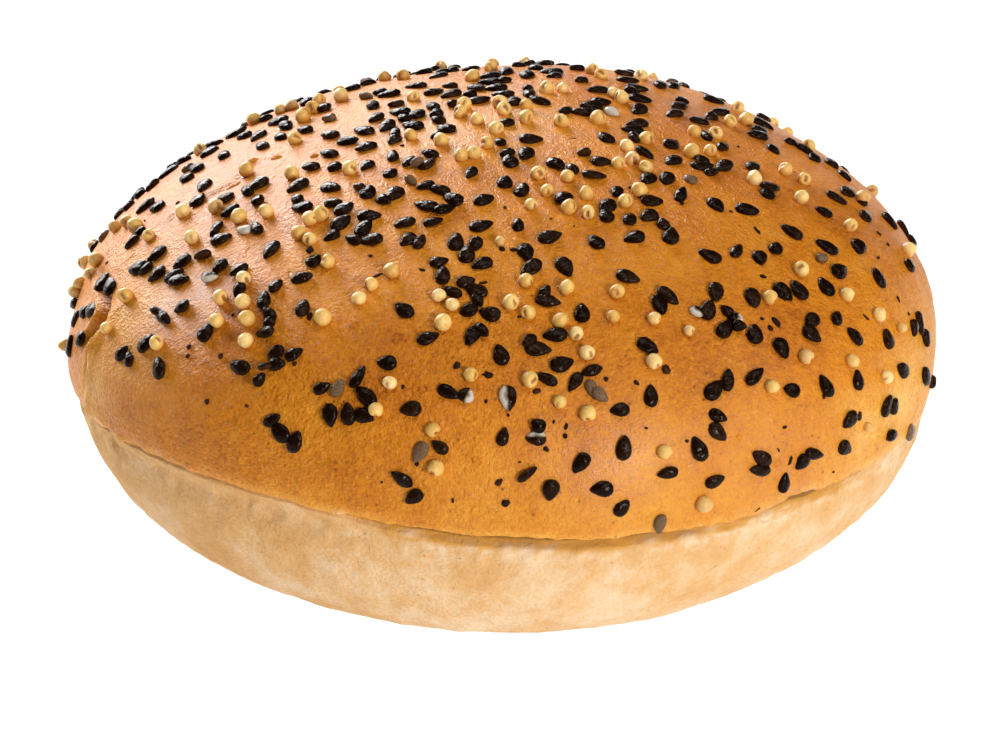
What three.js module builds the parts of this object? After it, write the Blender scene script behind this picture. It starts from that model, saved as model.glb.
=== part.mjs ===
// A round soft bread roll of the kind used for burgers: a browned, domed crown that
// overhangs a pale base with a shallow ragged line between the two, and a flat underside.
// Uncut, so it is one solid. Millimetres, +Z up, the flat underside on z = 0 and the axis on Z.
import * as THREE from "three";

// ---- driving sizes ----
const CROWN_RADIUS = 60; // widest radius, a little above the pan line
const HEIGHT = 52.7; // underside to the top of the dome
const LINE_HEIGHT = 19.2; // the pan line, where the crown's lip ends
const WIDEST_ABOVE_LINE = 2.7; // the crown bulges out this far above its lip
const LIP_RADIUS = 59.3; // the crown's lower edge
const WALL_RADIUS = 58.05; // top of the pale wall
const GROOVE_HEIGHT = 2.2; // the pan line's opening
const GROOVE_DEPTH = 0.9; // how far it cuts in behind the lip
const FOOT_RADIUS = 43.7; // the flat underside
const BASE_ROUNDNESS = 1.8; // superellipse power of the base's rounding
const DOME_POWER_Z = 2.4; // superellipse powers of the dome
const DOME_POWER_R = 1.97;

// ---- unevenness: sums of waves round the axis, as [waves per turn, cosine part, sine part] ----
// Height of the pan line (mm): higher at the front left, lower at the right.
const LINE_WAVES = [
  [1, 1.44, -1.6],
  [2, 1.22, -0.79],
  [3, -0.31, 0.43],
  [4, -0.63, -0.63],
];
// Plan outline, as shares of the radius.
const CROWN_PLAN_WAVES = [
  [2, -0.0016, -0.0022],
  [3, -0.0033, 0.0016],
];
const BASE_PLAN_WAVES = [
  [1, -0.0037, 0.0052],
  [2, -0.0025, 0.0009],
  [4, 0.0081, 0.0028],
];
// Fullness of the dome's shoulder (mm): one side proved a little higher.
const SHOULDER_WAVES = [
  [1, 0.32, 1.57],
  [3, -0.61, -0.49],
];
// Broad shallow lumps of the crown's skin (mm), as [waves per turn, waves up the dome, phase, depth].
const LUMPS = [
  [5, 2.0, 0.6, 0.16],
  [7, 3.2, 2.1, 0.12],
  [11, 4.6, 4.4, 0.07],
];
// A dent where the skin folded at the left shoulder: [azimuth, height, half-width in degrees, half-height, depth].
const SHOULDER_DENT = [-83, 31, 6, 3.2, 0.7];
const CALM_TOP_RADIUS = 30; // the unevenness dies away inside this radius, towards the top

// ---- resolution ----
const TURN_STEPS = 100;
const FOOT_STEPS = 3;
const BASE_STEPS = 9;
const GROOVE_STEPS = 4;
const LIP_STEPS = 3;
const DOME_STEPS = 21;

const rad = THREE.MathUtils.degToRad;
const smooth = (t) => THREE.MathUtils.smoothstep(t, 0, 1);
const waves = (list, phi) =>
  list.reduce((sum, [k, c, s]) => sum + c * Math.cos(k * phi) + s * Math.sin(k * phi), 0);
const bell = (t) => Math.exp(-t * t);

// Half section from the centre of the underside, out and up over the lip to the top of the dome.
function halfSection() {
  const points = [];
  const put = (r, z) => points.push(new THREE.Vector2(r, z));
  const wallTop = LINE_HEIGHT - GROOVE_HEIGHT;
  const widest = LINE_HEIGHT + WIDEST_ABOVE_LINE;

  for (let i = 0; i < FOOT_STEPS; i++) put((FOOT_RADIUS * i) / FOOT_STEPS, 0);
  for (let i = 0; i <= BASE_STEPS; i++) {
    const z = wallTop * (1 - Math.cos((i / BASE_STEPS) * Math.PI * 0.5));
    const t = Math.max(0, 1 - Math.pow((wallTop - z) / wallTop, BASE_ROUNDNESS));
    put(FOOT_RADIUS + (WALL_RADIUS - FOOT_RADIUS) * Math.pow(t, 1 / BASE_ROUNDNESS), z);
  }
  for (let i = 1; i < GROOVE_STEPS; i++) {
    const t = i / GROOVE_STEPS;
    const cut = GROOVE_DEPTH * Math.sin(Math.PI * t);
    put(WALL_RADIUS + (LIP_RADIUS - WALL_RADIUS) * t - cut, wallTop + GROOVE_HEIGHT * t);
  }
  for (let i = 0; i <= LIP_STEPS; i++) {
    const t = i / LIP_STEPS;
    put(CROWN_RADIUS - (CROWN_RADIUS - LIP_RADIUS) * (1 - t) ** 2, LINE_HEIGHT + WIDEST_ABOVE_LINE * t);
  }
  for (let i = 1; i <= DOME_STEPS; i++) {
    const up = Math.sin((i / DOME_STEPS) * Math.PI * 0.5);
    const r = Math.pow(Math.max(0, 1 - Math.pow(up, DOME_POWER_Z)), 1 / DOME_POWER_R);
    put(i === DOME_STEPS ? 0 : CROWN_RADIUS * r, widest + (HEIGHT - widest) * up);
  }
  return points;
}

// Moves a point of the even roll, at azimuth phi, radius r and height z, to where the real dough went.
function prove(phi, r, z) {
  const aboveLine = THREE.MathUtils.clamp((z - LINE_HEIGHT) / (HEIGHT - LINE_HEIGHT), 0, 1);
  const inBase = smooth(THREE.MathUtils.clamp((LINE_HEIGHT - z) / LINE_HEIGHT, 0, 1));
  const offAxis = THREE.MathUtils.smoothstep(r, 0, CALM_TOP_RADIUS);

  const plan = 1 + inBase * waves(BASE_PLAN_WAVES, phi) + (1 - inBase) * waves(CROWN_PLAN_WAVES, phi);
  const withLine = z < LINE_HEIGHT ? z / LINE_HEIGHT : (1 - 0.75 * aboveLine) * offAxis;
  const shoulder = Math.sin(Math.PI * Math.pow(aboveLine, 0.9)) * waves(SHOULDER_WAVES, phi) * offAxis;

  // lumps fade out at the pan line and at the pole
  const fade = Math.sin(Math.PI * Math.pow(aboveLine, 0.6)) * offAxis;
  let out = 0;
  for (const [k, up, phase, depth] of LUMPS)
    out += depth * Math.cos(k * phi + phase) * Math.cos(up * Math.PI * aboveLine + phase);
  const [at, height, wide, high, depth] = SHOULDER_DENT;
  const turn = Math.atan2(Math.sin(phi - rad(at)), Math.cos(phi - rad(at)));
  out = out * fade - depth * bell(turn / rad(wide)) * bell((z - height) / high);

  return [r * plan + out * Math.min(1, r), z + withLine * waves(LINE_WAVES, phi) + shoulder];
}

function breadRoll() {
  const geometry = new THREE.LatheGeometry(halfSection(), TURN_STEPS).rotateX(Math.PI / 2);
  const position = geometry.getAttribute("position");
  for (let i = 0; i < position.count; i++) {
    const x = position.getX(i);
    const y = position.getY(i);
    const r = Math.hypot(x, y);
    const phi = r > 1e-6 ? Math.atan2(x, -y) : 0;
    const [radius, z] = prove(phi, r > 1e-6 ? r : 0, position.getZ(i));
    position.setXYZ(i, radius * Math.sin(phi), -radius * Math.cos(phi), z);
  }
  // the axis runs through the middle of the outline's box
  geometry.computeBoundingBox();
  const middle = geometry.boundingBox.getCenter(new THREE.Vector3());
  geometry.translate(-middle.x, -middle.y, 0);
  geometry.computeVertexNormals();
  return geometry;
}

const crust = new THREE.MeshStandardMaterial({ color: 0xc07a35, roughness: 0.5, metalness: 0 });

const roll = new THREE.Mesh(breadRoll(), crust);
roll.name = "bread_roll";

const part = new THREE.Group();
part.add(roll);

export default part;
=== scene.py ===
# A round soft burger-type bread roll: browned domed crown with black sesame, millet and husk flecks,
# a ragged overhanging lip, and a pale matt base. Lengths are worked out in millimetres and built in metres.
import math
import bpy
import numpy as np
from mathutils import Matrix, Vector
from mathutils.bvhtree import BVHTree


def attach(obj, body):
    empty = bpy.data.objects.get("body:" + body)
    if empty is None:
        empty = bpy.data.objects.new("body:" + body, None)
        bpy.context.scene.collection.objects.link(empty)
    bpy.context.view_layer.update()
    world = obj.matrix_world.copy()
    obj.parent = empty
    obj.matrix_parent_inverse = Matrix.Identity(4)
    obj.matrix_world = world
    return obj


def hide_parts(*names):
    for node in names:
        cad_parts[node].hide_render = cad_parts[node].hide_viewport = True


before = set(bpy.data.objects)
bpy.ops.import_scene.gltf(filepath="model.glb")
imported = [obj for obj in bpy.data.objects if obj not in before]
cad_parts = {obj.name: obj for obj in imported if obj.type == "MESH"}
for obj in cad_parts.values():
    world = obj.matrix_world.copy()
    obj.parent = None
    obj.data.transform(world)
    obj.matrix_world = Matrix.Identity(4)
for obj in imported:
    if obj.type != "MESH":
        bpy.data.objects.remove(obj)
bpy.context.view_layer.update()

MM = 0.001
rng = np.random.default_rng(20)

# ---------------------------------------------------------------- sizes shared with the CAD solid (mm)
CROWN_RADIUS, HEIGHT, LINE_HEIGHT = 60.0, 52.7, 19.2
WIDEST_ABOVE_LINE, LIP_RADIUS, WALL_RADIUS = 2.7, 59.3, 58.05
GROOVE_HEIGHT, GROOVE_DEPTH, FOOT_RADIUS = 2.2, 0.9, 43.7
BASE_ROUNDNESS, DOME_POWER_Z, DOME_POWER_R = 1.8, 2.4, 1.97
CALM_TOP_RADIUS = 30.0
LINE_WAVES = [(1, 1.44, -1.6), (2, 1.22, -0.79), (3, -0.31, 0.43), (4, -0.63, -0.63)]
CROWN_PLAN_WAVES = [(2, -0.0016, -0.0022), (3, -0.0033, 0.0016)]
BASE_PLAN_WAVES = [(1, -0.0037, 0.0052), (2, -0.0025, 0.0009), (4, 0.0081, 0.0028)]
SHOULDER_WAVES = [(1, 0.32, 1.57), (3, -0.61, -0.49)]
LUMPS = [(5, 2.0, 0.6, 0.16), (7, 3.2, 2.1, 0.12), (11, 4.6, 4.4, 0.07)]
DENTS = [(-83.0, 31.0, 6.0, 3.2, 0.7), (-92.0, 25.0, 13.0, 6.0, 1.05), (-88.0, 19.5, 14.0, 3.0, 0.65), (88.0, 20.0, 17.0, 3.4, 0.95)]  # all but the first only shape the look's left and right outline
MIDDLE = np.array([-0.226, 0.1405, 0.0])  # middle of the outline before it is centred

# ---------------------------------------------------------------- view of the photograph (mm, 1000 x 750 frame)
ELEVATION = math.radians(25.5)
DISTANCE, FOCAL_PX = 600.0, 4323.0
FORWARD = np.array([0.0, math.cos(ELEVATION), -math.sin(ELEVATION)])
UPWARD = np.array([0.0, math.sin(ELEVATION), math.cos(ELEVATION)])
RIGHT = np.array([1.0, 0.0, 0.0])
TARGET = np.array([-0.19, 0.0, 15.45]) - MIDDLE
EYE = TARGET - DISTANCE * FORWARD

# ---------------------------------------------------------------- what lies on the crown, where the photograph shows it
# Sesame: pixel x, y, turn of its pointed end from the picture's right (degrees, in the skin's plane),
# half length and half width (hundredths of a mm), and kind: s black, e on edge, g hull gone grey-brown, h half hulled, w hulled.
SESAME = [
    (538, 349, 352, 175, 112, "s"), (624, 448, 83, 152, 92, "s"), (280, 432, 135, 175, 97, "s"), (562, 364, 22, 159, 97, "s"),
    (699, 449, 112, 159, 97, "s"), (366, 396, 135, 152, 92, "s"), (551, 490, 262, 132, 106, "s"), (476, 290, 143, 175, 111, "s"),
    (660, 305, 278, 175, 112, "s"), (330, 415, 277, 142, 92, "s"), (714, 390, 52, 169, 97, "s"), (548, 301, 345, 175, 90, "s"),
    (555, 335, 187, 149, 97, "s"), (371, 240, 173, 175, 112, "s"), (799, 290, 120, 169, 104, "s"), (782, 348, 293, 142, 106, "s"),
    (411, 409, 188, 132, 92, "s"), (753, 298, 278, 175, 104, "s"), (602, 489, 180, 142, 92, "s"), (716, 292, 263, 159, 97, "s"),
    (501, 355, 105, 142, 92, "s"), (648, 346, 330, 142, 92, "s"), (295, 442, 68, 142, 92, "s"), (710, 256, 150, 159, 97, "s"),
    (565, 267, 293, 159, 112, "s"), (581, 463, 233, 142, 85, "s"), (651, 396, 90, 142, 85, "s"), (531, 268, 225, 159, 104, "s"),
    (240, 367, 150, 152, 92, "s"), (582, 313, 90, 162, 92, "s"), (427, 206, 158, 175, 111, "s"), (755, 334, 90, 142, 99, "s"),
    (725, 329, 60, 162, 92, "s"), (159, 368, 105, 159, 97, "s"), (628, 277, 345, 152, 99, "s"), (404, 310, 135, 142, 92, "s"),
    (671, 236, 83, 175, 112, "s"), (668, 296, 323, 169, 90, "s"), (783, 292, 323, 149, 104, "s"), (826, 386, 120, 152, 85, "s"),
    (179, 280, 338, 175, 112, "s"), (728, 380, 83, 152, 78, "s"), (364, 228, 60, 175, 111, "s"), (620, 410, 188, 121, 83, "s"),
    (448, 392, 330, 142, 78, "s"), (402, 479, 142, 152, 78, "s"), (526, 252, 285, 159, 97, "s"), (747, 210, 0, 175, 111, "s"),
    (453, 199, 135, 169, 97, "s"), (887, 406, 45, 175, 104, "s"), (387, 363, 172, 122, 92, "s"), (414, 497, 218, 121, 83, "s"),
    (550, 237, 30, 175, 97, "s"), (428, 338, 23, 141, 83, "s"), (755, 376, 45, 159, 76, "s"), (456, 242, 82, 159, 97, "s"),
    (341, 223, 45, 159, 97, "s"), (850, 420, 210, 142, 92, "s"), (708, 310, 75, 159, 97, "s"), (467, 254, 83, 175, 112, "s"),
    (840, 271, 52, 169, 104, "s"), (302, 207, 150, 175, 112, "s"), (607, 207, 248, 175, 104, "s"), (594, 175, 0, 159, 104, "s"),
    (271, 250, 240, 169, 90, "s"), (622, 508, 45, 121, 83, "s"), (395, 194, 240, 175, 112, "s"), (358, 377, 60, 175, 69, "s"),
    (634, 238, 203, 142, 92, "s"), (716, 205, 293, 175, 111, "s"), (298, 186, 203, 169, 111, "s"), (826, 287, 120, 149, 104, "s"),
    (146, 343, 23, 149, 111, "s"), (792, 232, 150, 159, 90, "s"), (331, 188, 322, 169, 104, "s"), (443, 275, 90, 175, 90, "s"),
    (596, 242, 120, 132, 92, "s"), (563, 198, 232, 149, 104, "s"), (827, 247, 165, 175, 111, "s"), (366, 147, 217, 175, 111, "s"),
    (531, 139, 8, 169, 104, "s"), (206, 332, 60, 142, 92, "s"), (368, 192, 83, 175, 112, "s"), (792, 390, 180, 121, 90, "s"),
    (702, 166, 15, 175, 111, "s"), (649, 216, 225, 142, 99, "s"), (413, 126, 150, 175, 112, "s"), (633, 130, 195, 169, 111, "s"),
    (482, 264, 210, 142, 92, "s"), (667, 179, 263, 175, 104, "s"), (547, 379, 157, 141, 69, "s"), (344, 209, 30, 142, 106, "s"),
    (102, 282, 53, 175, 111, "s"), (481, 226, 23, 159, 90, "s"), (582, 112, 187, 175, 104, "s"), (526, 154, 255, 159, 111, "s"),
    (484, 200, 37, 152, 85, "s"), (859, 247, 270, 175, 104, "s"), (510, 161, 98, 175, 104, "s"), (405, 223, 203, 142, 85, "s"),
    (138, 268, 158, 169, 111, "s"), (556, 164, 307, 175, 112, "s"), (652, 201, 15, 152, 99, "s"), (715, 481, 15, 131, 76, "s"),
    (920, 323, 293, 169, 97, "s"), (837, 198, 0, 159, 97, "s"), (771, 187, 37, 175, 104, "s"), (110, 286, 90, 169, 97, "s"),
    (640, 99, 0, 175, 111, "s"), (855, 336, 150, 142, 92, "s"), (672, 144, 60, 175, 111, "s"), (428, 164, 60, 175, 90, "s"),
    (182, 262, 195, 142, 92, "s"), (760, 258, 277, 121, 90, "s"), (294, 354, 23, 121, 76, "s"), (592, 106, 195, 159, 111, "s"),
    (221, 239, 0, 149, 104, "s"), (496, 88, 180, 175, 90, "s"), (601, 162, 15, 132, 99, "s"), (592, 389, 292, 125, 69, "g"),
    (157, 274, 195, 142, 92, "s"), (784, 483, 75, 131, 76, "s"), (858, 380, 90, 131, 76, "s"), (645, 153, 308, 175, 97, "s"),
    (606, 138, 120, 149, 97, "s"), (198, 200, 67, 175, 97, "s"), (648, 179, 247, 149, 104, "s"), (888, 339, 113, 132, 92, "s"),
    (258, 184, 217, 175, 97, "s"), (264, 300, 90, 152, 85, "s"), (845, 448, 323, 132, 92, "s"), (637, 88, 0, 175, 111, "s"),
    (451, 94, 218, 175, 111, "s"), (724, 166, 240, 175, 111, "s"), (503, 437, 75, 115, 69, "s"), (490, 82, 180, 159, 97, "s"),
    (758, 135, 210, 169, 111, "s"), (879, 278, 120, 152, 85, "s"), (92, 310, 315, 159, 97, "s"), (446, 129, 135, 149, 111, "s"),
    (182, 307, 180, 121, 83, "s"), (776, 248, 82, 132, 85, "s"), (674, 114, 232, 175, 104, "s"), (303, 308, 82, 142, 85, "s"),
    (628, 80, 353, 175, 111, "s"), (369, 216, 0, 149, 90, "s"), (639, 110, 248, 175, 104, "s"), (400, 112, 150, 175, 90, "s"),
    (434, 92, 45, 159, 97, "s"), (903, 370, 165, 142, 92, "s"), (522, 190, 75, 149, 97, "s"), (416, 86, 157, 169, 90, "s"),
    (80, 339, 157, 159, 97, "s"), (598, 90, 210, 175, 90, "s"), (157, 254, 210, 152, 92, "s"), (333, 203, 345, 121, 83, "s"),
    (806, 150, 338, 159, 90, "s"), (439, 262, 15, 121, 83, "s"), (540, 101, 150, 159, 111, "s"), (926, 377, 315, 169, 104, "s"),
    (364, 131, 142, 169, 97, "s"), (673, 161, 240, 169, 97, "s"), (668, 473, 187, 135, 69, "s"), (278, 121, 157, 175, 104, "s"),
    (230, 211, 218, 142, 92, "s"), (630, 219, 82, 131, 83, "s"), (387, 126, 240, 152, 92, "s"), (505, 182, 83, 139, 97, "s"),
    (847, 192, 240, 175, 104, "s"), (575, 382, 240, 141, 62, "s"), (418, 114, 60, 142, 99, "s"), (699, 121, 210, 169, 104, "s"),
    (258, 136, 240, 159, 97, "s"), (314, 261, 53, 115, 90, "s"), (552, 72, 165, 175, 111, "s"), (269, 314, 120, 131, 76, "s"),
    (503, 94, 165, 175, 90, "s"), (323, 107, 105, 169, 112, "s"), (236, 133, 0, 159, 97, "s"), (209, 152, 225, 169, 97, "s"),
    (591, 371, 203, 131, 69, "s"), (837, 318, 75, 115, 76, "s"), (476, 244, 263, 115, 83, "s"), (329, 154, 150, 131, 83, "s"),
    (466, 282, 22, 121, 83, "s"), (477, 88, 307, 159, 112, "s"), (452, 292, 150, 141, 55, "s"), (440, 447, 143, 115, 62, "s"),
    (132, 242, 195, 121, 83, "s"), (681, 195, 75, 175, 76, "s"), (753, 166, 82, 169, 90, "s"), (445, 209, 38, 159, 76, "s"),
    (376, 118, 225, 131, 83, "s"), (70, 346, 37, 175, 90, "s"), (430, 154, 158, 121, 76, "s"), (226, 198, 37, 121, 90, "s"),
    (663, 224, 105, 115, 83, "s"), (824, 212, 165, 121, 83, "s"), (239, 290, 247, 115, 76, "s"), (763, 124, 345, 159, 111, "s"),
    (348, 141, 338, 159, 83, "s"), (216, 229, 247, 172, 71, "s"), (122, 353, 22, 131, 76, "s"), (302, 278, 7, 142, 71, "s"),
    (76, 318, 337, 149, 104, "s"), (617, 192, 255, 121, 76, "s"), (220, 266, 217, 121, 83, "s"), (276, 286, 53, 115, 76, "s"),
    (258, 200, 82, 131, 83, "s"), (910, 265, 68, 142, 92, "s"), (262, 146, 120, 131, 83, "s"), (311, 167, 173, 121, 83, "s"),
    (506, 72, 262, 159, 97, "s"), (145, 206, 195, 169, 83, "s"), (286, 126, 285, 142, 92, "s"), (914, 328, 270, 121, 76, "s"),
    (239, 270, 203, 131, 62, "s"), (624, 73, 210, 159, 97, "s"), (204, 186, 255, 149, 97, "s"), (601, 102, 15, 142, 92, "s"),
    (892, 435, 345, 131, 76, "s"), (866, 216, 75, 162, 92, "s"), (926, 338, 300, 121, 83, "s"), (394, 140, 240, 121, 83, "s"),
    (767, 194, 135, 121, 83, "s"), (272, 420, 23, 131, 62, "s"), (330, 135, 158, 131, 97, "s"), (637, 124, 203, 159, 90, "s"),
    (506, 123, 210, 121, 83, "s"), (389, 94, 173, 175, 104, "s"), (433, 222, 22, 131, 55, "s"), (606, 216, 120, 121, 90, "s"),
    (186, 178, 120, 142, 92, "s"), (335, 167, 75, 115, 90, "s"), (409, 162, 240, 141, 69, "s"), (527, 75, 270, 159, 104, "s"),
    (894, 406, 45, 121, 83, "s"), (479, 100, 23, 159, 97, "s"), (438, 120, 127, 121, 83, "s"), (831, 163, 105, 175, 104, "s"),
    (635, 138, 277, 142, 85, "s"), (157, 207, 165, 121, 104, "s"), (720, 112, 217, 175, 92, "s"), (471, 173, 247, 121, 62, "s"),
    (196, 168, 127, 159, 90, "s"), (514, 101, 90, 149, 97, "s"), (438, 76, 225, 169, 97, "s"), (434, 107, 293, 131, 83, "s"),
    (529, 94, 270, 131, 83, "s"), (678, 106, 240, 159, 97, "s"), (890, 221, 315, 161, 69, "s"), (164, 318, 307, 161, 62, "s"),
    (518, 225, 90, 115, 76, "s"), (490, 76, 210, 159, 97, "s"), (373, 106, 270, 121, 83, "s"), (500, 142, 105, 121, 69, "s"),
    (760, 130, 45, 142, 92, "s"), (711, 117, 233, 121, 83, "s"), (774, 150, 293, 131, 83, "s"), (702, 160, 120, 121, 83, "s"),
    (712, 172, 45, 121, 69, "s"), (722, 147, 247, 131, 76, "s"), (536, 68, 315, 121, 83, "s"), (737, 251, 68, 151, 55, "s"),
    (214, 144, 337, 152, 85, "s"), (305, 130, 142, 121, 83, "s"), (128, 206, 247, 121, 83, "s"), (174, 276, 15, 142, 85, "s"),
    (367, 166, 240, 121, 83, "s"), (332, 236, 210, 115, 69, "s"), (298, 200, 293, 115, 76, "s"), (714, 100, 15, 159, 90, "s"),
    (306, 102, 255, 159, 97, "s"), (812, 320, 225, 115, 90, "s"), (129, 359, 105, 115, 62, "s"), (471, 69, 45, 169, 90, "s"),
    (581, 80, 232, 121, 76, "s"), (384, 200, 315, 115, 83, "s"), (84, 312, 120, 121, 83, "s"), (244, 136, 150, 121, 83, "s"),
    (168, 172, 195, 159, 97, "s"), (554, 76, 210, 115, 83, "s"), (660, 85, 263, 142, 92, "s"), (391, 174, 52, 115, 83, "s"),
    (73, 303, 308, 121, 69, "s"), (507, 153, 225, 121, 55, "s"), (632, 91, 330, 115, 76, "s"), (146, 269, 188, 115, 69, "s"),
    (281, 137, 307, 115, 76, "s"), (247, 191, 120, 131, 69, "s"), (424, 72, 180, 121, 83, "s"), (354, 240, 150, 121, 76, "s"),
    (224, 155, 90, 121, 83, "s"), (814, 158, 240, 121, 83, "s"), (478, 300, 292, 115, 62, "s"), (529, 342, 232, 115, 69, "s"),
    (673, 86, 255, 131, 83, "s"), (470, 309, 55, 138, 100, "s"), (490, 314, 155, 138, 112, "s"), (472, 336, 250, 150, 88, "s"),
    (482, 332, 310, 125, 62, "s"), (348, 414, 95, 138, 88, "s"), (364, 416, 340, 125, 88, "s"), (545, 292, 65, 112, 62, "s"),
    (466, 395, 65, 62, 100, "h"), (508, 398, 275, 162, 112, "h"), (600, 396, 325, 112, 75, "g"), (762, 458, 145, 150, 88, "s"),
    (760, 470, 165, 150, 75, "s"), (802, 462, 220, 112, 88, "s"), (814, 454, 340, 150, 62, "s"), (718, 432, 315, 138, 88, "s"),
    (718, 416, 340, 125, 75, "s"), (812, 334, 330, 138, 100, "s"), (932, 381, 335, 175, 50, "s"), (910, 432, 95, 150, 100, "g"),
    (660, 524, 260, 138, 75, "g"), (420, 452, 240, 138, 88, "g"), (536, 438, 180, 125, 88, "h"), (538, 426, 150, 50, 88, "s"),
    (527, 474, 40, 138, 38, "e"), (697, 312, 320, 62, 75, "h"), (736, 319, 80, 88, 88, "h"), (727, 311, 140, 50, 62, "s"),
    (738, 328, 5, 50, 25, "s"), (822, 258, 50, 112, 62, "g"), (682, 101, 330, 100, 25, "s"), (684, 86, 295, 175, 38, "s"),
    (612, 112, 310, 112, 88, "w"), (706, 136, 105, 162, 62, "s"), (792, 142, 55, 150, 38, "s"), (845, 176, 305, 138, 25, "s"),
    (863, 202, 65, 100, 75, "s"), (691, 180, 30, 50, 100, "g"), (352, 88, 205, 125, 25, "s"), (368, 83, 225, 138, 25, "s"),
    (366, 96, 320, 112, 25, "g"), (380, 92, 185, 100, 25, "s"), (444, 72, 45, 138, 25, "s"), (454, 70, 80, 175, 25, "s"),
    (450, 86, 160, 112, 38, "s"), (470, 94, 190, 75, 25, "s"), (453, 103, 80, 175, 50, "s"), (519, 65, 340, 100, 25, "s"),
    (529, 64, 165, 75, 25, "s"), (543, 64, 135, 138, 38, "s"), (505, 80, 20, 88, 25, "s"), (528, 88, 85, 175, 50, "s"),
    (577, 68, 215, 125, 25, "s"), (396, 104, 210, 125, 38, "s"), (436, 114, 210, 75, 112, "s"), (405, 119, 310, 125, 38, "s"),
    (437, 136, 210, 88, 25, "s"), (395, 133, 85, 162, 50, "s"), (393, 156, 90, 175, 75, "s"), (417, 166, 195, 88, 25, "g"),
    (411, 182, 310, 88, 38, "g"), (426, 186, 205, 125, 75, "s"), (440, 190, 155, 138, 88, "s"), (408, 240, 225, 125, 88, "s"),
    (420, 242, 70, 138, 62, "s"), (360, 189, 145, 112, 25, "s"), (572, 169, 115, 125, 62, "s"), (584, 154, 205, 88, 25, "s"),
    (566, 111, 55, 125, 38, "s"), (152, 185, 215, 125, 25, "s"), (140, 194, 345, 75, 25, "s"), (184, 160, 320, 138, 25, "s"),
    (188, 168, 205, 88, 25, "g"), (172, 165, 325, 88, 25, "s"), (119, 214, 235, 125, 25, "s"), (140, 232, 180, 75, 25, "s"),
    (104, 236, 50, 112, 25, "g"), (95, 247, 30, 88, 25, "s"), (244, 230, 140, 125, 75, "w"), (257, 228, 105, 162, 50, "s"),
    (246, 124, 110, 125, 62, "g"), (329, 118, 170, 100, 25, "g"), (266, 118, 20, 88, 25, "s"), (203, 256, 165, 125, 25, "e"),
    (210, 277, 345, 125, 62, "h"), (269, 324, 260, 112, 75, "s"), (266, 334, 170, 138, 75, "s"), (276, 352, 200, 112, 75, "s"),
    (277, 364, 355, 112, 88, "s"), (267, 368, 15, 62, 25, "s"), (260, 380, 50, 75, 25, "e"), (158, 313, 310, 125, 25, "s"),
    (322, 388, 25, 112, 62, "s"), (338, 388, 60, 125, 75, "g"),
]
# Millet: pixel x, y and kind: m plain, n toasted, d small and pale.
MILLET = [
    (491, 68, "m"), (592, 70, "m"), (601, 75, "m"), (473, 77, "m"), (562, 89, "m"), (614, 94, "m"), (341, 96, "m"), (413, 97, "m"),
    (319, 100, "m"), (500, 103, "m"), (464, 105, "m"), (526, 106, "m"), (738, 108, "m"), (280, 110, "m"), (303, 116, "m"), (598, 119, "m"),
    (254, 120, "m"), (477, 120, "m"), (561, 122, "m"), (730, 122, "m"), (496, 129, "m"), (694, 132, "m"), (716, 134, "m"), (411, 136, "m"),
    (295, 139, "m"), (646, 139, "m"), (441, 141, "m"), (487, 144, "m"), (809, 146, "m"), (627, 147, "m"), (200, 150, "m"), (710, 151, "m"),
    (692, 152, "m"), (461, 156, "m"), (618, 164, "m"), (646, 168, "m"), (350, 169, "m"), (247, 170, "m"), (785, 170, "m"), (292, 174, "m"),
    (538, 174, "m"), (567, 177, "m"), (754, 179, "m"), (804, 180, "m"), (547, 191, "m"), (639, 191, "m"), (586, 194, "m"), (801, 198, "m"),
    (625, 202, "m"), (531, 205, "m"), (569, 208, "m"), (183, 212, "m"), (266, 212, "m"), (588, 213, "m"), (321, 215, "m"), (239, 217, "m"),
    (310, 219, "m"), (115, 227, "m"), (299, 234, "m"), (149, 236, "m"), (192, 238, "m"), (909, 250, "m"), (96, 260, "m"), (328, 262, "m"),
    (801, 270, "m"), (392, 271, "m"), (90, 274, "m"), (244, 279, "m"), (526, 281, "m"), (80, 283, "m"), (77, 291, "m"), (371, 285, "m"), (567, 288, "m"),
    (617, 292, "m"), (847, 295, "m"), (126, 296, "m"), (439, 296, "m"), (221, 298, "m"), (770, 298, "m"), (359, 299, "m"), (243, 302, "m"),
    (511, 303, "m"), (452, 305, "m"), (528, 313, "m"), (879, 315, "m"), (613, 317, "m"), (323, 318, "m"), (247, 319, "m"), (654, 319, "m"),
    (217, 321, "m"), (560, 321, "m"), (443, 323, "m"), (107, 328, "m"), (576, 334, "m"), (246, 341, "m"), (157, 343, "m"), (61, 345, "m"),
    (587, 353, "m"), (852, 361, "m"), (654, 362, "m"), (471, 375, "m"), (886, 377, "m"), (530, 380, "m"), (390, 383, "m"), (772, 387, "m"),
    (560, 402, "m"), (376, 410, "m"), (588, 414, "m"), (868, 427, "d"), (433, 430, "m"), (665, 452, "m"), (436, 468, "m"), (704, 504, "n"),
    (806, 357, "n"), (901, 328, "d"), (641, 76, "m"), (621, 98, "m"), (746, 120, "m"), (850, 226, "m"), (632, 160, "n"), (384, 78, "n"),
    (403, 76, "n"), (546, 89, "m"), (460, 113, "m"), (504, 110, "m"), (526, 118, "m"), (500, 242, "d"), (474, 154, "m"), (127, 222, "n"),
    (135, 226, "m"), (216, 207, "n"), (292, 106, "n"), (313, 108, "m"), (310, 240, "m"), (84, 262, "m"), (689, 331, "d"), (862, 199, "n"),
]
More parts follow.
